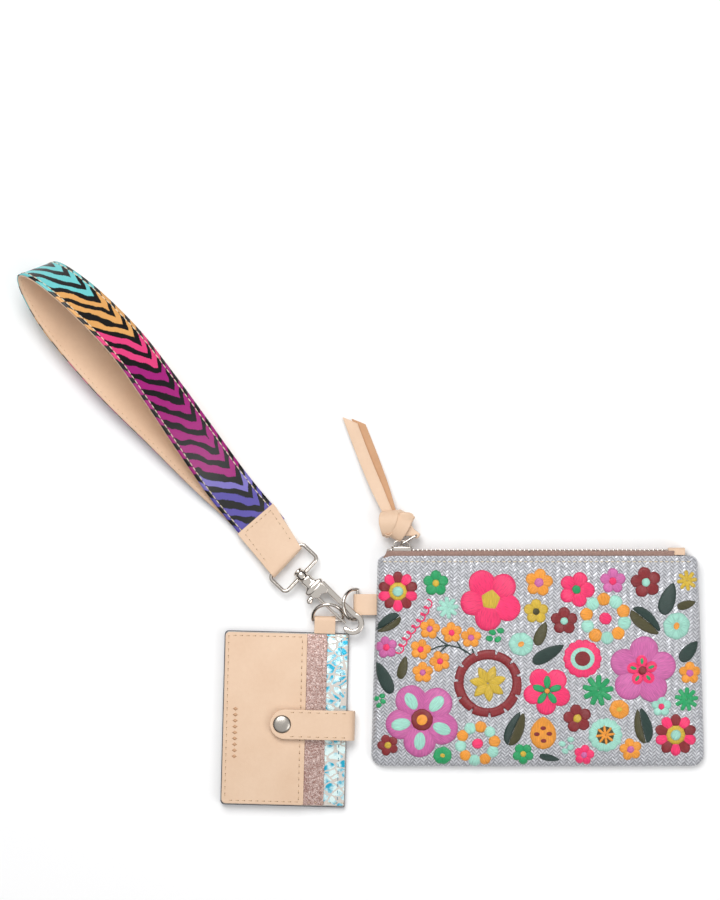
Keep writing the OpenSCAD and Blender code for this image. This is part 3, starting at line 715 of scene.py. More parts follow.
# the attribute holds each stitch's thread colour and the painted shadow of its needle hole
dye = add(t, "Attribute", {"attribute_name": "dye_and_shade"}).outputs[0]
lint = add(t, "TexNoise", None, Vector=add(t, "TexCoord").outputs["Object"], Scale=2600.0, Detail=2.0)
t.links.new(mix(t, calc(t, "MULTIPLY_ADD", lint.outputs[0], 0.5, 0.0), dye, rgb(150, 118, 84)),
            p.inputs["Base Color"])
bump(t, p, lint.outputs[0], 0.0001)

# the second colour is the painted shadow in a needle hole through tan hide
CREAM, TAN_HOLE_SHADOW = rgb(238, 226, 200), rgb(128, 86, 58)


def seam(bm, line, pitch=3.0, length=2.0, width=0.62, colour=CREAM, hole=TAN_HOLE_SHADOW, sink=0.0, start=0.5):
    """A row of stitches along points of (x, y, z, up x, up y, up z), with a needle hole at each end, drawn as
    a small darker dot that paints the shadow in the hole.
    """
    part = leathers(threaded=True)
    dye_and_shade = part.verts.layers.float_color["dye_and_shade"]
    spots = [Vector(q[:3]) for q in line]
    walked, due = 0.0, pitch * start
    for i, (a, b) in enumerate(zip(spots, spots[1:])):
        step = (b - a).length
        while step > 1e-9 and walked + step >= due:
            at = a.lerp(b, (due - walked) / step)
            up = Vector(line[i][3:6]) if len(line[i]) > 3 else Vector((0, 0, 1))
            run = (b - a).normalized()
            side = up.cross(run).normalized()
            up = run.cross(side)
            size = length * chance.uniform(0.93, 1.05)
            # the second, smaller body is the needle hole: a dark dot of painted shadow
            for shift, long, across, deep, dye in ((0, size / 2, width / 2, width * 0.42, colour),
                    (size * 0.58, 0.3, 0.3, 0.14, hole)):
                if dye is None:
                    continue
                turned = Matrix((run * long, side * across, up * deep)).transposed().to_4x4()
                turned.translation = at + run * shift - up * sink
                for v in bmesh.ops.create_uvsphere(part, u_segments=6, v_segments=5, radius=1,
                        matrix=turned @ Matrix.Rotation(
                        pi / 2, 4, "Y"))["verts"]:
                    v[dye_and_shade] = dye
            due += pitch
        walked += step
    join(bm, part)


# grain of veg-tanned hide: fine pores in shallow creases, with a slow cloudy tone
grain, gi, go = group("hide_grain", {"Pore": 1500.0, "Cloud": 55.0}, {"Height": "Float", "Tone": "Float"})
here = add(grain, "TexCoord").outputs["Object"]
pores = add(grain, "TexVoronoi", {"feature": "DISTANCE_TO_EDGE"}, Vector=here,
            Scale=gi.outputs[0]).outputs["Distance"]
wrinkle = add(grain, "TexNoise", None, Vector=here, Scale=calc(grain, "MULTIPLY", gi.outputs[0], 0.35),
              Detail=4.0).outputs[0]
cloud = add(grain, "TexNoise", None, Vector=here, Scale=gi.outputs[1], Detail=3.0).outputs[0]
grain.links.new(calc(grain, "ADD", calc(grain, "MINIMUM", calc(grain, "MULTIPLY", pores, 2.5), 0.5), calc(
    grain, "MULTIPLY", wrinkle, 0.7)), go.inputs[0])
grain.links.new(calc(grain, "MULTIPLY_ADD", cloud, 0.7, calc(grain, "MULTIPLY", wrinkle, 0.3)),
                go.inputs[1])


def hide(name, light, dark, roughness=0.5, depth=0.00005):
    m, t, p = finish(name, Roughness=roughness, Specular_IOR_Level=0.45, Sheen_Weight=0.08)
    g = use(t, grain)
    t.links.new(mix(t, calc(t, "MULTIPLY_ADD", g.outputs[1], 1.3, -0.2), rgb(*dark), rgb(*light)),
                p.inputs["Base Color"])
    bump(t, p, g.outputs[0], depth)
    return m


beige_hide = hide("beige_hide", (232, 203, 176), (218, 184, 154))
cut_hide = hide("cut_edge_hide", (214, 170, 132), (190, 142, 104), 0.7, 0.00012)

# the front's top edge is turned over and stitched 2.3 mm down; a thin cream line shows where it folds
threads = leathers(threaded=True)
# the grey dots at the stitch ends are painted shadow in the needle holes
seam(threads, [(x, foot + tall - 3.3, crown(x, foot + tall - 3.3) + 0.08) for x in range(int(left) + 6,
    int(left + wide) - 5)],
     pitch=3.1, length=2.2, width=0.7, hole=rgb(96, 92, 90))
finished("top_stitching", threads, cotton, "pouch")

linen, t, p = finish("lining_weave", Roughness=0.85, Sheen_Weight=0.3)
xyz = add(t, "SeparateXYZ", None, Vector=add(t, "TexCoord").outputs["Object"])
warp = calc(t, "SINE", calc(t, "MULTIPLY", xyz.outputs[0], 12000.0))
weft = calc(t, "SINE", calc(t, "MULTIPLY", xyz.outputs[1], 12000.0))
cross = calc(t, "MULTIPLY", warp, weft)
# colour: painted shade in step with the weave's bump, lighter and darker in a fine check
t.links.new(mix(t, calc(t, "MULTIPLY_ADD", cross, 0.4, 0.5), rgb(186, 180, 170), rgb(216, 208, 196)),
            p.inputs["Base Color"])
bump(t, p, cross, 0.00006)
for node, low, high in (("pouch_lining_front", 0.0, 1.0), ("pouch_lining_back", 0.0, 1.0)):
    bm = leathers()

    def lining(s, t, upper=node.endswith("front")):
        v = 0.015 + 0.965 * (1 - cos(pi * t)) / 2
        x, y = mid + sin(pi / 2 * (2 * s - 1)) * (half_width(v) - 1.5), foot + tall * v
        return x, y, max(1.95, crown(x, y) - 1.35) if upper else 1.75
    sheet(bm, 60, 40, lining)
    made = finished(node.replace("pouch_", ""), bm, linen, "pouch", [node])
    made.modifiers.new("cloth", "SOLIDIFY").thickness = 0.0003


def folded_tab(name, middle, run, side, reach, width, stands_for, body, last_z, stitch=True):
    """A leather tab folded round a ring's bar, both layers sewn into the piece it hangs from."""
    m, run, side = Vector(middle), Vector(run), Vector(side)
    up = Vector((0, 0, 1))
    path = [m + run * reach + up * (last_z[1] - m.z)] + [
        m + run * (reach * k) + up * (1.74 + (last_z[1] - m.z - 1.74) * k ** 2) for k in (0.7, 0.4, 0.15)]
    path += [m + run * (-1.74 * cos(a)) + up * (1.74 * sin(a))
             for a in [pi / 2 - pi * k / 10 for k in range(11)]]
    path += [m + run * (reach * k) + up * (-1.74 + (last_z[0] - m.z + 1.74) * k ** 2) for k in (0.15, 0.4,
        0.7, 1.0)]
    bm = leathers(threaded=True)
    sweep(bm, [(tuple(q), tuple(side), width / 2, 0.6) for q in path], power=9, ring=40)
    close_ends(bm)
    return finished(name, bm, beige_hide, body, stands_for, crease=50)


folded_tab("side_tab", (-1.98, -40.0, 2.6), (1, 0, 0), (0, 1, 0), 10.9, 12.0, ["pouch_side_tab"], "pouch",
           (1.3, 4.0))


# ---- Zip: tapes, teeth, stops and the folded end tab
# A dusty rose tape pair is turned in along the mouth.
# Nickel teeth are clamped over its cord, and a leather tab covers its end.
tape, t, p = finish("zip_tape", Roughness=0.8, Sheen_Weight=0.35)
xyz = add(t, "SeparateXYZ", None, Vector=add(t, "TexCoord").outputs["Object"])
rib = calc(t, "ABSOLUTE", calc(t, "SINE", calc(t, "MULTIPLY", calc(t, "ADD", xyz.outputs[0], calc(t,
    "ABSOLUTE", calc(
    t, "SUBTRACT", calc(t, "FRACT", calc(t, "MULTIPLY", xyz.outputs[1], 700.0)), 0.5))), 4200.0)))
fuzz = add(t, "TexNoise", None, Vector=add(t, "TexCoord").outputs["Object"], Scale=900.0,
           Detail=3.0).outputs[0]
# colour: random fuzz tone plus painted shade in step with the ribs' bump, darker between the ribs
t.links.new(mix(t, calc(t, "MULTIPLY_ADD", fuzz, 0.7, calc(t, "MULTIPLY", rib, 0.3)), rgb(146, 108, 96),
                rgb(196, 160, 146)), p.inputs["Base Color"])
bump(t, p, rib, 0.00012)
for name, node, flip in (("zip_tape_upper", "zip_tape_front", 1), ("zip_tape_lower", "zip_tape_back", -1)):
    profile = smooth([(-13.2, 4.2), (-12.2, 4.75), (-10.9, 5.1), (-9.7, 5.05), (-9.1, 4.5), (-9.15, 3.2),
                      (-9.3, 2.0)], 5)
    if flip < 0:
        profile = [(y, z * 1.08) for y, z in profile]

    def laid_tape(s, t):
        y, z = profile[round(t * (len(profile) - 1))]
        slant = (y + 12) * 1.1 if s < 0.5 else 0
        return (15.2 - 1.9 + slant * 0.5 + s * 165.6 + (0.12 * sin(s * 60 + y)),
                y + 0.07 * sin(s * 47), 5.7 + flip * z)
    bm = leathers()
    sheet(bm, 160, len(profile) - 1, laid_tape)
    made = finished(name, bm, tape, "pouch", [node])
    made.modifiers.new("cloth", "SOLIDIFY").thickness = 0.00045


# wear of plated metal: long faint scratches and duller patches
wear, gi, go = group("plating_wear", {"Scale": 900.0}, {"Rough": "Float", "Height": "Float"})
here = add(wear, "TexCoord").outputs["Object"]
smear = add(wear, "TexNoise", None, Vector=here, Scale=gi.outputs[0], Detail=4.0).outputs[0]
broad = add(wear, "TexNoise", None, Vector=here, Scale=calc(wear, "MULTIPLY", gi.outputs[0], 0.2),
            Detail=2.0).outputs[0]
wear.links.new(calc(wear, "MULTIPLY", smear, broad), go.inputs[0])
wear.links.new(smear, go.inputs[1])


def plated(name, colour, low, spread, depth=0.000006):
    m, t, p = finish(name, Metallic=1.0, Base_Color=rgb(*colour))
    g = use(t, wear)
    t.links.new(calc(t, "MULTIPLY_ADD", g.outputs[0], spread, low), p.inputs["Roughness"])
    bump(t, p, g.outputs[1], depth)
    return m


nickel = plated("polished_nickel", (212, 205, 197), 0.04, 0.12)
tooth_nickel = plated("zip_nickel", (204, 196, 187), 0.12, 0.2)
satin = plated("satin_nickel", (176, 170, 162), 0.22, 0.3, 0.00001)

bm = leathers()
for side in (1, -1):
    for i in range(62):
        x, z = 16.52 + (i + (0.1 if side > 0 else 0.55)) * 2.54 + 0.62, 5.7 + side * 1.35
        made = bmesh.ops.create_cube(bm, size=1, matrix=Matrix.Translation((x,
            -9.3 - (1.1 if side < 0 else 0), z)) @ Matrix.Diagonal((1.3, 2.4, 2.0, 1)))["verts"]
        edges = list({e for v in made for e in v.link_edges})
        bmesh.ops.bevel(bm, geom=edges, offset=0.28, segments=2, profile=0.5, affect="EDGES", material=-1)
finished("zip_teeth", bm, tooth_nickel, "pouch", ["zip_teeth_front", "zip_teeth_back"],
         crease=50)
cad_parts["zip_stops"].data.materials.clear()
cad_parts["zip_stops"].data.materials.append(tooth_nickel)

bm = leathers(threaded=True)
fold = [(180.4, -11.4, 9.3)] + [(180.4, -9.7, 9.35), (180.4, -8.6, 9.1), (180.4, -7.9, 8.2),
                                (180.4, -7.75, 5.7), (180.4, -7.9, 3.2), (
    180.4, -8.6, 2.95), (180.4, -9.7, 2.9), (180.4, -11.4, 2.9)]
sweep(bm, [(q, (1, 0, 0), 4.8, 0.42) for q in smooth(fold, 4)], power=8, ring=32)
close_ends(bm)
finished("zip_end_fold", bm, beige_hide, "pouch", ["zip_end_tab"], crease=50)


# ---- Slider, pull link and knotted leather pull
# The slider is two cast shields joined by a post, with an arched lug.
# The link is bent wire, and the pull is a knotted lace.
bm = leathers()


def shield(x, z, low, high):
    outline = rounded([(x + 0.2, z + 2.4, 1.6), (x + 4.2, z + 3.9, 2.0), (x + 12.3, z + 3.7, 1.2),
                       (x + 12.3, z + 1.3, 0.4), (x + 9.6, z, 0.6),
                       (x + 12.3, z - 1.3, 0.4), (x + 12.3, z - 3.7, 1.2), (x + 4.2, z - 3.9, 2.0),
                       (x + 0.2, z - 2.4, 1.6)], 1.0)
    cut_out(bm, outline, low, high, 0.28, lambda a, b, c: (a, c, b), 3)


shield(16.87, 5.7, -7.7, -6.75)
shield(16.87, 5.7, -11.7, -10.85)
for z in (1.95, 9.45):
    cut_out(bm, rounded([(18.6, -11.4), (28.6, -11.4), (28.6, -7.0), (18.6, -7.0)], 0.5), z - 0.35,
            z + 0.35, 0.2)
cut_out(bm, rounded([(17.3, -11.3), (19.6, -11.3), (19.6, -7.0), (17.3, -7.0)], 0.3), 5.45, 5.95, 0.1)
arch = smooth([(18.6, -7.0, 5.7), (18.7, -5.2, 5.7), (20.0, -3.75, 5.7), (22.6, -3.45, 5.7),
               (25.4, -3.75, 5.7), (27.4, -5.0, 5.7), (27.9, -7.0, 5.7)], 6)
sweep(bm, [(q, (0, 0, 1), 1.15, 0.52) for q in arch], power=3, ring=16)
close_ends(bm)
finished("zip_slider_cast", bm, nickel, "slider", ["zip_slider"], crease=45)

near, ahead = Vector((23.02, -5.4, 5.7)), Vector((cos(radians(31)), sin(radians(31)), 0))
bm = leathers()
outline = rounded([(-0.0, -2.6), (10.2, -2.6), (10.2, 2.6), (0.0, 2.6)], 1.5, 6)
wire = [near + ahead * a + Vector((0, 0, b)) for a, b in outline]
wire = [w for i, w in enumerate(wire) if (w - wire[i - 1]).length > 1e-4]
across_it = Vector((-ahead.y, ahead.x, 0))
dense = []
for i, w in enumerate(wire):
    nxt = wire[(i + 1) % len(wire)]
    n = max(1, round((nxt - w).length / 0.9))
    dense += [w.lerp(nxt, k / n) for k in range(n)]
sweep(bm, [(tuple(q), tuple(across_it), 0.7, 0.7) for q in dense], ring=14, closed=True)
finished("pull_wire", bm, nickel, "pull_link", ["zip_pull_link"], merge=0.001)

far = near + ahead * 10.2
bm = leathers(threaded=True)


def lace(points, power=7, ring=28, per=7):
    """Flat lace through points of (x, y, z, side x, y, z, half width, half thickness) from the link's bar."""
    run = smooth(points, per)
    sweep(bm, [((far.x + q[0], far.y + q[1], far.z + q[2]), q[3:6], q[6], q[7]) for q in run], power, ring)


# doubled lace from the link to the knot
lace([(1.6, -0.8, 0, 0.47, 0.88, 0, 0.9, 1.2), (1.1, -0.5, 0, 0.47, 0.88, 0, 1.6, 1.9),
      (0, 0, 0, 0.47, 0.88, 0, 1.9, 2.1),
      (-2.4, 1.3, 0.1, 0.47, 0.88, 0, 2.3, 2.2), (-5, 2.7, 0.4, 0.5, 0.87, 0, 3.6, 2.2),
      (-9, 4.6, 0.6, 0.5, 0.87, 0, 4.6, 2.2)], 4)
# right wrap: over the knot from its upper right edge down to the lower left
lace([(-6.3, 12.2, -1.6, 0.86, -0.5, 0.1, 3.6, 0.8), (-6.6, 11.8, 1.6, 0.86, -0.5, 0.1, 4.6, 0.85),
      (-7.6, 9.6, 4.1, 0.86, -0.5, 0.0, 5.2, 0.9),
      (-9.2, 6.2, 4.9, 0.86, -0.5, -0.05, 5.4, 0.9), (-11.2, 2.4, 4.2, 0.87, -0.48, -0.05, 5.2, 0.9),
      (-12.8, -0.6, 2.2, 0.88, -0.46, 0, 4.6, 0.85),
      (-13.3, -1.4, -0.6, 0.88, -0.46, 0, 3.6, 0.8)], 6)
lace([(-2.6, 8.6, 1.9, -0.5, -0.86, 0.1, 2.5, 0.8), (-3.1, 8.3, 3.1, -0.5, -0.86, 0.1, 3.4, 0.8),
      (-5.2, 8.9, 4.2, -0.45, -0.88, 0, 4.2, 0.8),
      (-9.0, 8.2, 4.6, -0.4, -0.9, 0, 4.2, 0.8)], 6)
# left lobe: comes out from behind the tails, over and down, and ends in a roll
lace([(-14.6, 13.2, -1.0, 1, 0.12, 0.05, 4.4, 0.8), (-15.2, 13.0, 2.0, 1, 0.12, 0.1, 5.1, 0.85),
      (-16.0, 10.6, 4.2, 1, 0.1, 0.16, 5.5, 0.9),
      (-16.7, 6.8, 5.0, 1, 0.05, 0.18, 5.0, 0.9), (-17.0, 3.4, 4.2, 1, 0.0, 0.1, 3.8, 0.9),
      (-17.0, 1.0, 2.9, 1, 0, 0.05, 3.0, 0.85),
      (-16.9, -0.2, 0.8, 1, 0, 0.0, 2.6, 0.7)], 6)
coil = [(-16.9 + (0.5 + 0.29 * a) * cos(a), 0.9 + (0.5 + 0.29 * a) * sin(a) * 0.86, 2.3 + 0.1 * a, 0.15,
         0.35, 0.92, 1.9, 0.36) for a in
        [k * 0.55 for k in range(13)]]
lace(coil, 5, 18, 3)
# body of the knot behind the wraps
for v in bmesh.ops.create_uvsphere(bm, u_segments=28, v_segments=18, radius=1)["verts"]:
    x, y, z = v.co
    v.co = far + Vector((-12.2 + 7.3 * x - 0.8 * y, 6.1 + 6.3 * y, 1.0 + 4.1 * z))
close_ends(bm)
finished("pull_knot", bm, beige_hide, "pull", ["leather_pull"], crease=60)

bm = leathers(threaded=True)


def tail(x, y, z, angle, length, half, lean, slant, turn):
    run = Vector((cos(radians(angle)), sin(radians(angle)), 0))
    side = Vector((-run.y, run.x, turn)).normalized()
    low, high = -half, half
    outline = rounded([(0, low, 0), (length + slant, low, 0.25), (length - slant, high, 0.25),
                       (0, high, 0)], 0)

    def place(a, b, c):
        f = a / length
        bend = 0.8 * sin(pi * f) * lean
        narrow = 1 - 0.25 * max(0, 1 - f * 3.2)
        q = far + Vector((x, y, z)) + run * a + side * (b * narrow + bend) + Vector((0, 0,
            c - 4.4 * f ** 0.8 + 0.5 * sin(f * 7)))
        return q
    cut_out(bm, outline, -0.65, 0.65, 0.3, place, 2, [length * k / 24 for k in range(1, 24)])


tail(-14.2, 8.0, 0.4, 112.5, 62.5, 3.45, 1.0, -3.4, 0.05)
finished("pull_tail_front", bm, beige_hide, "pull", ["leather_pull"], crease=40)
bm = leathers(threaded=True)
tail(-12.6, 8.2, -1.2, 110.0, 60.5, 3.2, -0.9, -3.0, -0.15)
finished("pull_tail_back", bm, cut_hide, "pull", ["leather_pull"], crease=40)


# ---- D-rings, swivel hook and its rectangular loop
# Cast and bent from zinc and steel, polished and nickel plated.
# The gate turns on a pin, and a flat spring shuts it.
def d_ring(name, middle, turned, body, node):
    leg, r = 2.5, 8.8
    run = [(0, -r + 2 * r * k / 14) for k in range(15)] + [(-leg * k / 3, r) for k in (1, 2)]
    run += [(-leg - r * sin(pi * k / 36), r * cos(pi * k / 36)) for k in range(37)] + [(-leg * k / 3,
        -r) for k in (2, 1)]
    bm = leathers()
    sweep(bm, [(Vector(middle) + turned @ Vector((a, b, 0)), turned @ Vector((0, 0, 1)), 1.0, 1.0) for a,
               b in run], ring=18, closed=True)
    finished(name, bm, nickel, body, [node], merge=0.001)


d_ring("pouch_ring_wire", (-1.98, -40.0, 2.6), Matrix.Rotation(radians(43.2), 3, "Y"), "pouch_ring",
       "pouch_d_ring")
d_ring("card_ring_wire", (-18.98, -48.9, 2.6), Matrix.Rotation(radians(-91.5), 3,
    "Z") @ Matrix.Rotation(radians(36.3), 3, "Y"),
       "card_ring", "card_d_ring")

hook_turn = Matrix.Rotation(radians(-43.24), 3, "Z") @ Matrix.Rotation(radians(-2.67), 3, "Y")
hook_spot = Vector((-34.10, -23.184, 5.15))


def on_hook(x, y, z):
    return hook_spot + hook_turn @ Vector((x, y, z))


def turned_part(bm, profile, steps=36, flat=None):
    """Turned on the hook's own axis from a profile of (along, radius)."""
    part = bmesh.new()
    line = [part.verts.new((a, max(r, 0.001), 0)) for a, r in profile]
    edges = [part.edges.new(pair) for pair in zip(line, line[1:])]
    bmesh.ops.spin(part, geom=line + edges, cent=(0, 0, 0), axis=(1, 0, 0), angle=2 * pi, steps=steps,
                   use_merge=True)
    bmesh.ops.remove_doubles(part, verts=part.verts, dist=0.01)
    bmesh.ops.recalc_face_normals(part, faces=part.faces)
    for v in part.verts:
        x, y, z = v.co
        if flat and abs(z) > flat * 0.75:
            z = (flat * 0.75 + (abs(z) - flat * 0.75) * 0.22) * (1 if z > 0 else -1)
        v.co = on_hook(x, y, z)
    join(bm, part)


bm = leathers()
turned_part(bm, [(2.9, 2.05), (2.9, 3.2), (3.2, 3.7), (3.7, 3.85), (5.0, 3.6), (7.0, 3.7), (7.8, 4.2),
                 (8.4, 5.3), (8.8, 6.2), (9.5, 6.6),
                 (10.4, 6.5), (11.2, 5.8), (11.7, 4.4), (11.8, 0)], flat=3.6)
for low, high in ((1.2, 2.5), (-2.5, -1.2)):
    cut_out(bm, rounded([(10.2, 4.9, 0.6), (16.4, 5.2, 0.8), (17.6, 2.6, 0.8), (15.9, 0.2, 1.4),
                         (15.9, -3.4, 2.2), (12.8, -5.5, 2.2),
                         (10.2, -3.6, 1.0)], 1.0), low, high, 0.35, on_hook, 3)
cut_out(bm, rounded([(10.2, 4.9, 0.6), (16.4, 5.2, 0.8), (17.6, 2.6, 0.8), (15.5, 0.7, 0.6),
                     (10.2, 0.7, 0.2)], 0.6), -1.3, 1.3, 0.1, on_hook)
spine = [(11.5 + 26.5 * k / 12, 4.5) for k in range(12)] + [(40.3 + 5 * cos(radians(a)),
    5 * sin(radians(a))) for a in range(117, -123, -8)]
stations = []
for k, (a, b) in enumerate(spine):
    end = min(1, (len(spine) - 1 - k) / 4)
    root = max(0, 1 - k / 5)
    stations.append((on_hook(a, b + 0.2 * root, 0), hook_turn @ Vector((0, 0, 1)),
                     (1.62 + 0.5 * root) * (0.55 + 0.45 * sqrt(end)), (
        1.65 + 0.25 * root) * (0.5 + 0.5 * sqrt(end))))
sweep(bm, stations, power=4.5, ring=24)
close_ends(bm)
finished("hook_cast", bm, nickel, "hook", ["hook_frame"], crease=42)

bm = leathers()
turned_part(bm, [(-4.0, 0), (-4.0, 1.5), (-3.75, 2.4), (-3.3, 3.0), (-2.8, 3.1), (-2.45, 2.7), (-2.4, 2.0),
                 (8.2, 2.0), (8.2, 0)])
finished("swivel_rivet", bm, nickel, "hook", ["swivel_post"], merge=0.002, crease=40)
for node, finish_of in (("gate_pin", nickel), ("gate_spring", satin)):
    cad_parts[node].data.materials.clear()
    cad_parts[node].data.materials.append(finish_of)

bm = leathers()
arm = [(13.2, -2.6, 1.2), (14.5, -2.62, 1.05), (16.4, -2.72, 0.95), (24, -2.8, 0.9), (32, -2.8, 0.88),
       (36.6, -2.8, 0.8), (37.2, -2.8, 0.5)]
sweep(bm, [(on_hook(q[0], q[1], 0), hook_turn @ Vector((0, 0, 1)), min(q[2], 0.95),
            q[2] * 0.9) for q in smooth(arm, 5)], power=3, ring=16)
thumb = [(13.2, -2.4, 1.0), (13.15, -4.2, 1.05), (13.2, -5.8, 1.3), (13.45, -7.2, 1.75), (13.6, -8.4, 1.6),
         (13.65, -9.3, 0.7)]
sweep(bm, [(on_hook(q[0], q[1], 0), hook_turn @ Vector((0, 0, 1)), min(1.5, q[2]),
            q[2]) for q in smooth(thumb, 6)], power=2.3, ring=18)
close_ends(bm)
finished("gate_cast", bm, nickel, "gate", ["hook_gate"], crease=45)

bm = leathers()
outline = rounded([(-12.7, -13.55), (0.3, -13.55), (0.3, 13.55), (-12.7, 13.55)], 2.6, 8)
dense = []
for i, (a, b) in enumerate(outline):
    c, d = outline[(i + 1) % len(outline)]
    n = max(1, round(hypot(c - a, d - b) / 1.2))
    dense += [(a + (c - a) * k / n, b + (d - b) * k / n) for k in range(n)]
sweep(bm, [(on_hook(a, b, 0), hook_turn @ Vector((0, 0, 1)), 1.2, 1.2) for a, b in dense], ring=18,
      closed=True)
turned_part(bm, [(-2.1, 2.08), (-2.1, 2.7), (-1.8, 3.15), (-1.2, 3.4), (1.6, 3.4), (2.2, 3.15), (2.6, 2.7),
                 (2.6, 2.08), (-2.1, 2.08)])
finished("loop_wire", bm, nickel, "loop", ["swivel_loop"], merge=0.001, crease=45)


# ---- Wrist strap
# A printed, coated ribbon and a smooth hide lining, edge stitched together.
# They are folded back on themselves as a loop.
along_strap = Vector((cos(radians(130.34)), sin(radians(130.34)), 0))
across_strap = Vector((along_strap.y, -along_strap.x, 0))
loop_run = smooth([(36.2, -40, 2.2, 0, 0), (50, -40, 2.2, 0, 0), (62, -41, 2.4, 3, 0),
                   (83, -43.8, 4.2, 12, 0), (119, -47.3, 6.2, 22, 0),
                   (160, -51.6, 7.8, 30, 4), (200, -52.4, 8.9, 35, 10), (224, -49.5, 12.5, 38, 16),
                   (236, -44, 22, 38, 18), (229, -38.5, 32, 38, 16),
                   (205, -33.5, 37, 36, 11), (172, -31, 36, 35, 5), (140, -33, 29.5, 28, 0),
                   (105, -36.5, 18.5, 16, 0), (78, -39.1, 9.2, 6, 0),
                   (62, -39.9, 5.6, 2, 0), (50, -40, 3.9, 0, 0), (36.2, -40, 3.9, 0, 0)], 18)
ribbon_line = [along_strap * q[0] + across_strap * q[1] + Vector((0.52, -0.804, q[2])) for q in loop_run]
ribbon_side, ribbon_out = [], []
for k, q in enumerate(loop_run):
    w = across_strap * cos(radians(q[4])) - along_strap * sin(radians(q[4]))
    w = Vector((w.x * cos(radians(q[3])), w.y * cos(radians(q[3])), -sin(radians(q[3]))))
    run = ribbon_line[min(len(loop_run) - 1, k + 3)] - ribbon_line[max(0, k - 3)]
    ribbon_side.append(w)
    ribbon_out.append(run.cross(w).normalized())


def on_ribbon(k, across, off):
    return ribbon_line[k] + ribbon_side[k] * across + ribbon_out[k] * off


def ribbon(name, off, material, node, thickness):
    last = len(loop_run) - 1
    bm = leathers(threaded=True)
    sheet(bm, 14, last, lambda s, t: on_ribbon(round(t * last), (s - 0.5) * 25.3, off), lambda s,
          t: ((s - 0.5) * 25.3, loop_run[round(t * last)][0]))
    bmesh.ops.recalc_face_normals(bm, faces=bm.faces)
    made = finished(name, bm, material, "strap", [node])
    thick = made.modifiers.new("coat", "SOLIDIFY")
    thick.thickness, thick.offset = thickness, 0
    return made


# the print: ragged black chevrons whose point runs near one edge, over bands of colour along the strap
print_coat, t, p = finish("printed_ribbon", Roughness=0.34, Specular_IOR_Level=0.5)
uv = add(t, "SeparateXYZ", None, Vector=add(t, "UVMap", {"uv_map": "thread"}).outputs[0])
u, v = uv.outputs[0], uv.outputs[1]
flat_uv = add(t, "UVMap", {"uv_map": "thread"}).outputs[0]
teeth = add(t, "TexNoise", None, Vector=flat_uv, Scale=1.5, Detail=3.0, Roughness=0.8).outputs[0]
sway = add(t, "TexNoise", None, Vector=flat_uv, Scale=0.085, Detail=1.0).outputs[0]
u0 = calc(t, "SUBTRACT", u, 6.6)
bent = calc(t, "ADD", calc(t, "MULTIPLY", calc(t, "MINIMUM", u0, 0.0), 1.14),
            calc(t, "MULTIPLY", calc(t, "MAXIMUM", u0, 0.0), -1.7))
hem = calc(t, "MULTIPLY", calc(t, "GREATER_THAN", calc(t, "ABSOLUTE", u), 10.7), 5.2)
phase = calc(t, "ADD", calc(t, "ADD", calc(t, "ADD", v, hem), bent),
             calc(t, "ADD", calc(t, "MULTIPLY_ADD", sway, 9.0, -4.5),
                  calc(t, "MULTIPLY_ADD", teeth, 2.4, -1.2)))
wave = calc(t, "ABSOLUTE", calc(t, "SUBTRACT", calc(t, "FRACT", calc(t, "DIVIDE", calc(t, "SUBTRACT", phase,
    64.6), 10.9)), 0.5))
lumpy = add(t, "TexNoise", None, Vector=flat_uv, Scale=0.16, Detail=1.0).outputs[0]
black = calc(t, "LESS_THAN", wave, calc(t, "MULTIPLY_ADD", lumpy, 0.22, 0.13))
zone = add(t, "ValToRGB", None, Fac=calc(t, "DIVIDE", phase, 250.0))
zone.color_ramp.interpolation = "CONSTANT"
for i, (at, colour) in enumerate(((0, (88, 78, 162)), (58, (122, 112, 188)), (70, (160, 26, 118)),
                                  (144, (222, 62, 122)), (166.5, (218, 160, 92)),
                                  (202, (104, 196, 198)))):
    stop = zone.color_ramp.elements[i] if i < 2 else zone.color_ramp.elements.new(at / 250)
    stop.position, stop.color = at / 250, rgb(*colour)
t.links.new(mix(t, black, zone.outputs[0], rgb(9, 8, 9)), p.inputs["Base Color"])
skin_bump = use(t, grain, Pore=1900.0)
bump(t, p, skin_bump.outputs[0], 0.00003)
ribbon("ribbon_print", 0.42, print_coat, "strap_print_band", 0.00076)
ribbon("ribbon_lining", -0.42, hide("lining_hide", (230, 200, 172), (214, 180, 150), 0.62),
       "strap_lining_band", 0.00076)
threads = leathers(threaded=True)
inner = range(13, len(loop_run) - 13)
for side in (-10.5, 10.5):
    # the hole colours are painted shadow in the needle holes, dark on the print and tan on the lining
    seam(threads, [(*on_ribbon(k, side, 0.84), *ribbon_out[k]) for k in inner], pitch=3.5, length=2.9,
         width=0.6, hole=rgb(60, 46, 50))
    seam(threads, [(*on_ribbon(k, side, -0.8), *(-ribbon_out[k])) for k in inner], pitch=3.5, length=1.3,
         width=0.42, colour=rgb(226, 198, 168),
         hole=rgb(176, 134, 102), sink=0.05)
finished("ribbon_stitching", threads, cotton, "strap")

# the tab: one strip of hide over the loop's back bar, gripping all four ribbon ends under a stitched square
bar, grip = on_hook(-12.7, 0, 0), Vector((cos(radians(130.76)), sin(radians(130.76)), 0))
bar_side, grip_side = Vector((0.685, 0.7285, 0)), Vector((0.757, 0.653, 0))


def on_tab(t, w, z):
    f = min(1, max(0, t / 14))
    w += 2.4 * min(1, max(0, t / 28))
    return Vector((bar.x, bar.y,
                   0)) + grip * t + (bar_side * (1 - f) + grip_side * f).normalized() * w + Vector((0, 0,
                       z))


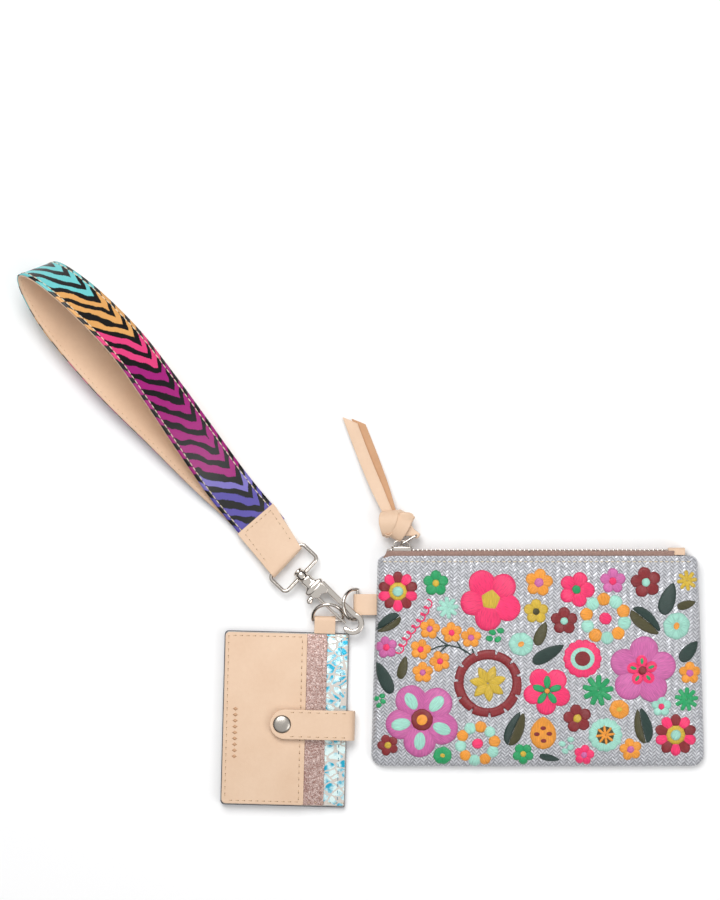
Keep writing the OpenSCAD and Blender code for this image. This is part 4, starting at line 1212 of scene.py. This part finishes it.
tab_path = [(29.2, 5.3), (26, 5.3), (20, 5.32), (12, 5.42), (7, 5.65), (3.5, 6.1), (1.2, 6.45)]
tab_path += [(-1.95 * sin(pi * k / 10), bar.z + 1.95 * cos(pi * k / 10)) for k in range(11)]
tab_path += [(1.2, 2.6), (3.5, 1.9), (7, 1.2), (12, 0.85), (20, 0.8), (26, 0.8), (29.2, 0.8)]
bm = leathers(threaded=True)
sweep(bm, [(tuple(on_tab(a, 0, z)), tuple(on_tab(a, 1, z) - on_tab(a, 0, z)),
            11.5 + 1.9 * min(1, max(0, a / 27)), 0.57) for a, z in smooth(tab_path, 3)],
      power=11, ring=44)
close_ends(bm)
cut_out(bm, rounded([(2.6, -11.2), (13.8, -12.0), (13.8, 12.0), (2.6, 11.2)], 1.0), 1.2, 4.95, 0.3,
        lambda a, b, c: on_tab(a, b, c))
finished("tab_leather", bm, beige_hide, "strap", ["strap_tab"], crease=50)
threads = leathers(threaded=True)
corners = [(6.6, -9.4), (27, -9.9), (27, 9.9), (6.6, 9.4), (6.6, -9.4)]
for a, b in zip(corners, corners[1:]):
    line = [on_tab(a[0] + (b[0] - a[0]) * k / 30, a[1] + (b[1] - a[1]) * k / 30, 0) for k in range(31)]
    line = [Vector((q.x, q.y, 5.92 + (0.16 if (q - bar).dot(grip) < 9 else 0.0))) for q in line]
    seam(threads, [tuple(q) for q in line], pitch=3.4, length=1.5, width=0.5, colour=rgb(226, 196, 160))
finished("tab_stitching", threads, cotton, "strap")


# ---- Card holder
# Five leaves of hide sewn one over the other at the left, foil and glitter leaves stepping out to the right.
def on_card(x, y, z):
    a = radians(-1.5)
    crowned = 0.25 * cos(pi * x / 74) * cos(pi * y / 104) if 1 < z < 9 else 0.0
    return Vector((-43.58 + x * cos(a) - y * sin(a), -105.404 + x * sin(a) + y * cos(a), z + crowned))


def leaf_of_hide(name, x0, x1, y, low, high, material, nodes, radius=2.4, edge=0.3):
    bm = leathers()
    cut_out(bm, rounded([(x0, -y, radius), (x1, -y, 1.0), (x1, y, 1.0), (x0, y, radius)], 1.0), low, high,
            edge, on_card, 3,
            [x0 + (x1 - x0) * k / 12 for k in range(1, 12)])
    return finished(name, bm, material, "holder", nodes, crease=40)


navy = hide("navy_edge_paint", (44, 46, 66), (26, 27, 42), 0.45)
leaf_of_hide("holder_back", -35.7, 35.5, 49.85, 0.95, 2.4, navy, ["holder_back_panel"])
leaf_of_hide("holder_inner", -35.3, 35.3, 49.4, 2.35, 3.3,
             hide("inner_hide", (206, 200, 192), (180, 172, 164)),
             ["holder_inner_panel"])

foil, t, p = finish("foiled_hide", Specular_IOR_Level=0.6)
here = add(t, "TexCoord").outputs["Object"]
stretch = add(t, "Mapping", None, Vector=here, Scale=(0.72, 1.05, 1.0)).outputs[0]
warped = add(t, "VectorMath", {"operation": "MULTIPLY_ADD"},
             i0=add(t, "TexNoise", None, Vector=here, Scale=240.0, Detail=2.0).outputs[1],
             i1=(0.0026, 0.0026, 0.0), i2=stretch).outputs[0]
cells = add(t, "TexVoronoi", {"feature": "DISTANCE_TO_EDGE"}, Vector=warped,
            Scale=225.0).outputs["Distance"]
patchy = add(t, "TexNoise", None, Vector=here, Scale=420.0, Detail=4.0, Roughness=0.75).outputs[0]
on_foil = calc(t, "GREATER_THAN", cells, calc(t, "MULTIPLY_ADD", patchy, 0.12, 0.03))
glint = add(t, "TexNoise", None, Vector=here, Scale=170.0, Detail=3.0).outputs[0]
edge_glow = calc(t, "MULTIPLY_ADD", calc(t, "SUBTRACT", glint, 0.5), 6.0, 0.72)
sky_foil = mix(t, calc(t, "MINIMUM", calc(t, "MAXIMUM", edge_glow, 0.0), 1.0), rgb(20, 168, 200),
               rgb(226, 248, 246))
t.links.new(mix(t, on_foil, rgb(204, 197, 189), sky_foil), p.inputs["Base Color"])
t.links.new(calc(t, "MULTIPLY", on_foil, 0.35), p.inputs["Metallic"])
t.links.new(calc(t, "MULTIPLY_ADD", on_foil, -0.25, 0.5), p.inputs["Roughness"])
foil_grain = use(t, grain, Pore=900.0)
bump(t, p, calc(t, "ADD", foil_grain.outputs[0], calc(t, "MULTIPLY", on_foil, 0.4)), 0.00005)
leaf_of_hide("foil_leaf", -35.1, 34.9, 48.9, 3.3, 4.35, foil, ["foil_pocket"])

glitter, t, p = finish("glitter_hide", Specular_IOR_Level=0.7)
here = add(t, "TexCoord").outputs["Object"]
grains = add(t, "TexVoronoi", None, Vector=here, Scale=2300.0)
flake = add(t, "SeparateColor", None, Color=grains.outputs["Color"])
clumps = add(t, "TexVoronoi", None, Vector=here, Scale=1150.0)
clump = add(t, "SeparateColor", None, Color=clumps.outputs["Color"])
light = calc(t, "MULTIPLY_ADD", flake.outputs[0], 0.55, calc(t, "MULTIPLY", clump.outputs[0], 0.45))
t.links.new(mix(t, calc(t, "POWER", light, 1.6), rgb(150, 108, 98), rgb(240, 218, 210)),
            p.inputs["Base Color"])
t.links.new(calc(t, "MULTIPLY", calc(t, "GREATER_THAN", flake.outputs[1], 0.5), 0.75), p.inputs["Metallic"])
t.links.new(calc(t, "MULTIPLY_ADD", flake.outputs[2], 0.35, 0.2), p.inputs["Roughness"])
bump(t, p, light, 0.00016)
leaf_of_hide("glitter_leaf", -35.1, 23.2, 48.95, 4.3, 5.35, glitter, ["glitter_pocket"])
leaf_of_hide("front_leaf", -35.1, 11.7, 49.0, 5.3, 6.42, beige_hide, ["front_pocket"],
             edge=0.35)

threads = leathers(threaded=True)


def card_seam(points, z, pitch=3.75, length=1.5, **more):
    line = []
    for a, b in zip(points, points[1:]):
        n = max(2, round(hypot(a[0] - b[0], a[1] - b[1]) / 1.2))
        line += [tuple(on_card(a[0] + (b[0] - a[0]) * k / n, a[1] + (b[1] - a[1]) * k / n,
                               z)) for k in range(n)]
    seam(threads, line + [tuple(on_card(*points[-1], z))], pitch=pitch, length=length, width=0.5, **more)


tan = rgb(222, 190, 152)
card_seam([(-33.2, -46), (-33.2, 46)], 6.44, colour=tan)
card_seam([(-32, 47.2), (8, 47.2)], 6.44, colour=tan)
card_seam([(8.9, 47), (8.9, -47)], 6.44, colour=tan)
card_seam([(-32, -47.2), (8, -47.2)], 6.44, colour=tan)
# its hole colour is painted shadow in the needle holes
card_seam([(20.9, 47.4), (20.9, -47.4)], 5.37, colour=rgb(196, 160, 150), hole=rgb(132, 98, 92))
for y in (47.3, -47.3):
    card_seam([(13, y), (22.6, y)], 5.37, colour=rgb(214, 186, 160))
    card_seam([(24.5, y), (34, y)], 4.37, colour=rgb(222, 206, 170))
# its hole colour is painted shadow in the needle holes
card_seam([(31.2, 47.4), (31.2, -47.4)], 4.37, colour=rgb(60, 150, 178), hole=rgb(30, 90, 120))
finished("holder_stitching", threads, cotton, "holder")
stamp_hide = hide("stamped_hide", (214, 172, 136), (196, 150, 114), 0.42)
bm = leathers()
for k in range(9):
    cut_out(bm, [(-28.4 + 1.5 * sin(a),
                  -22 + 3.4 * k + 1.1 * cos(a)) for a in [2 * pi * j / 4 for j in range(4)]], 6.36, 6.455,
                  0, on_card)
finished("holder_stamp", bm, stamp_hide, "holder")
folded_tab("holder_tab", (-20.62, -48.86, 2.6), (-0.026, -0.9997, 0), (0.9997, -0.026, 0), 7.6, 12.0,
           ["holder_ring_tab"], "holder", (1.9, 3.6))


# ---- Snap closure
# A doubled strap sewn to the holder's back and brought round its right edge.
# It snaps to a stud on the front pocket.
ease = [(-8.38 + 8.5 * (1 - cos(pi / 2 * k / 9)), 8.9, 0.78) for k in range(10)] + [(a, 8.9,
    0.78) for a in (4, 10, 16, 22, 28, 31)]
ease += [(34.0, 8.87, 0.78), (36.0, 8.7, 0.76), (37.7, 8.2, 0.74), (38.9, 7.2, 0.7), (39.45, 5.8, 0.68),
         (39.5, 4.4, 0.68), (39.3, 3.1, 0.66)]


def strap_half(a, z):
    return 8.5 if a > 0.1 else max(0.25, sqrt(max(0, 8.5 ** 2 - (0.12 - a) ** 2)))


def on_closure(x, y, z):
    q = on_card(x, y, 0)
    return Vector((q.x, q.y, z))


bm = leathers(threaded=True)
strap_side = tuple(on_closure(0, 1, 0) - on_closure(0, 0, 0))
sweep(bm, [(tuple(on_closure(a, -2.85, z)), strap_side, strap_half(a, z), thick) for a, z, thick in ease],
      power=10, ring=40)
close_ends(bm)
strip = finished("closure_strip", bm, beige_hide, None,
                 ["closure_tab", "closure_tab_lining"], crease=50)
bend_from, bend_to = on_closure(37.8, -2.85, 8.8) / 1000, on_closure(31.5, -2.85, 8.8) / 1000
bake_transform(strip)
bm = leathers(threaded=True)
under = [(39.35, 3.5, 0.6), (38.9, 2.2, 0.5), (37.7, 1.1, 0.45), (36.0, 0.55, 0.42), (34, 0.47, 0.42),
         (26, 0.47, 0.42), (16, 0.47, 0.42), (12.2, 0.47, 0.42)]
sweep(bm, [(tuple(on_closure(a, -2.85, z)), strap_side, 8.5, thick) for a, z, thick in under], power=10,
      ring=40)
close_ends(bm)
finished("closure_back", bm, beige_hide, "holder", ["closure_anchor"], crease=50)
threads = leathers(threaded=True)
for side in (-6.9, 6.9):
    line = [(*on_closure(a, -2.85 + side, z + 0.79), 0, 0, 1) for a,
            z in [(1.5 + 34.5 * k / 40, 8.9) for k in range(38)]]
    line += [(*on_closure(a, -2.85 + side, z), 0.5, 0, 0.86) for a,
             z in ((35.6, 9.58), (36.9, 9.25), (38.0, 8.75))]
    seam(threads, line, pitch=4.9, length=1.6, width=0.5, colour=tan)
knots = finished("closure_stitching", threads, cotton, None)
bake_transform(knots)

part = bmesh.new()
line = [part.verts.new((q, 0, z)) for q, z in ((0.001, 11.2), (1.6, 11.17), (3.1, 10.98), (4.2, 10.68),
                                               (4.9, 10.3), (5.18, 9.98), (5.2, 9.8), (
    5.0, 9.66), (4.4, 9.64), (0.001, 9.64))]
edges = [part.edges.new(pair) for pair in zip(line, line[1:])]
bmesh.ops.spin(part, geom=line + edges, cent=(0, 0, 0), axis=(0, 0, 1), angle=2 * pi, steps=48,
               use_merge=True)
for v in part.verts:
    v.co = v.co + on_closure(-1.55, -2.85, 0)
finished("snap_dome", part, satin, "closure", ["snap_cap"], merge=0.002, crease=40)
for node in ("snap_socket", "snap_stud", "snap_post"):
    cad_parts[node].data.materials.clear()
    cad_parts[node].data.materials.append(satin)
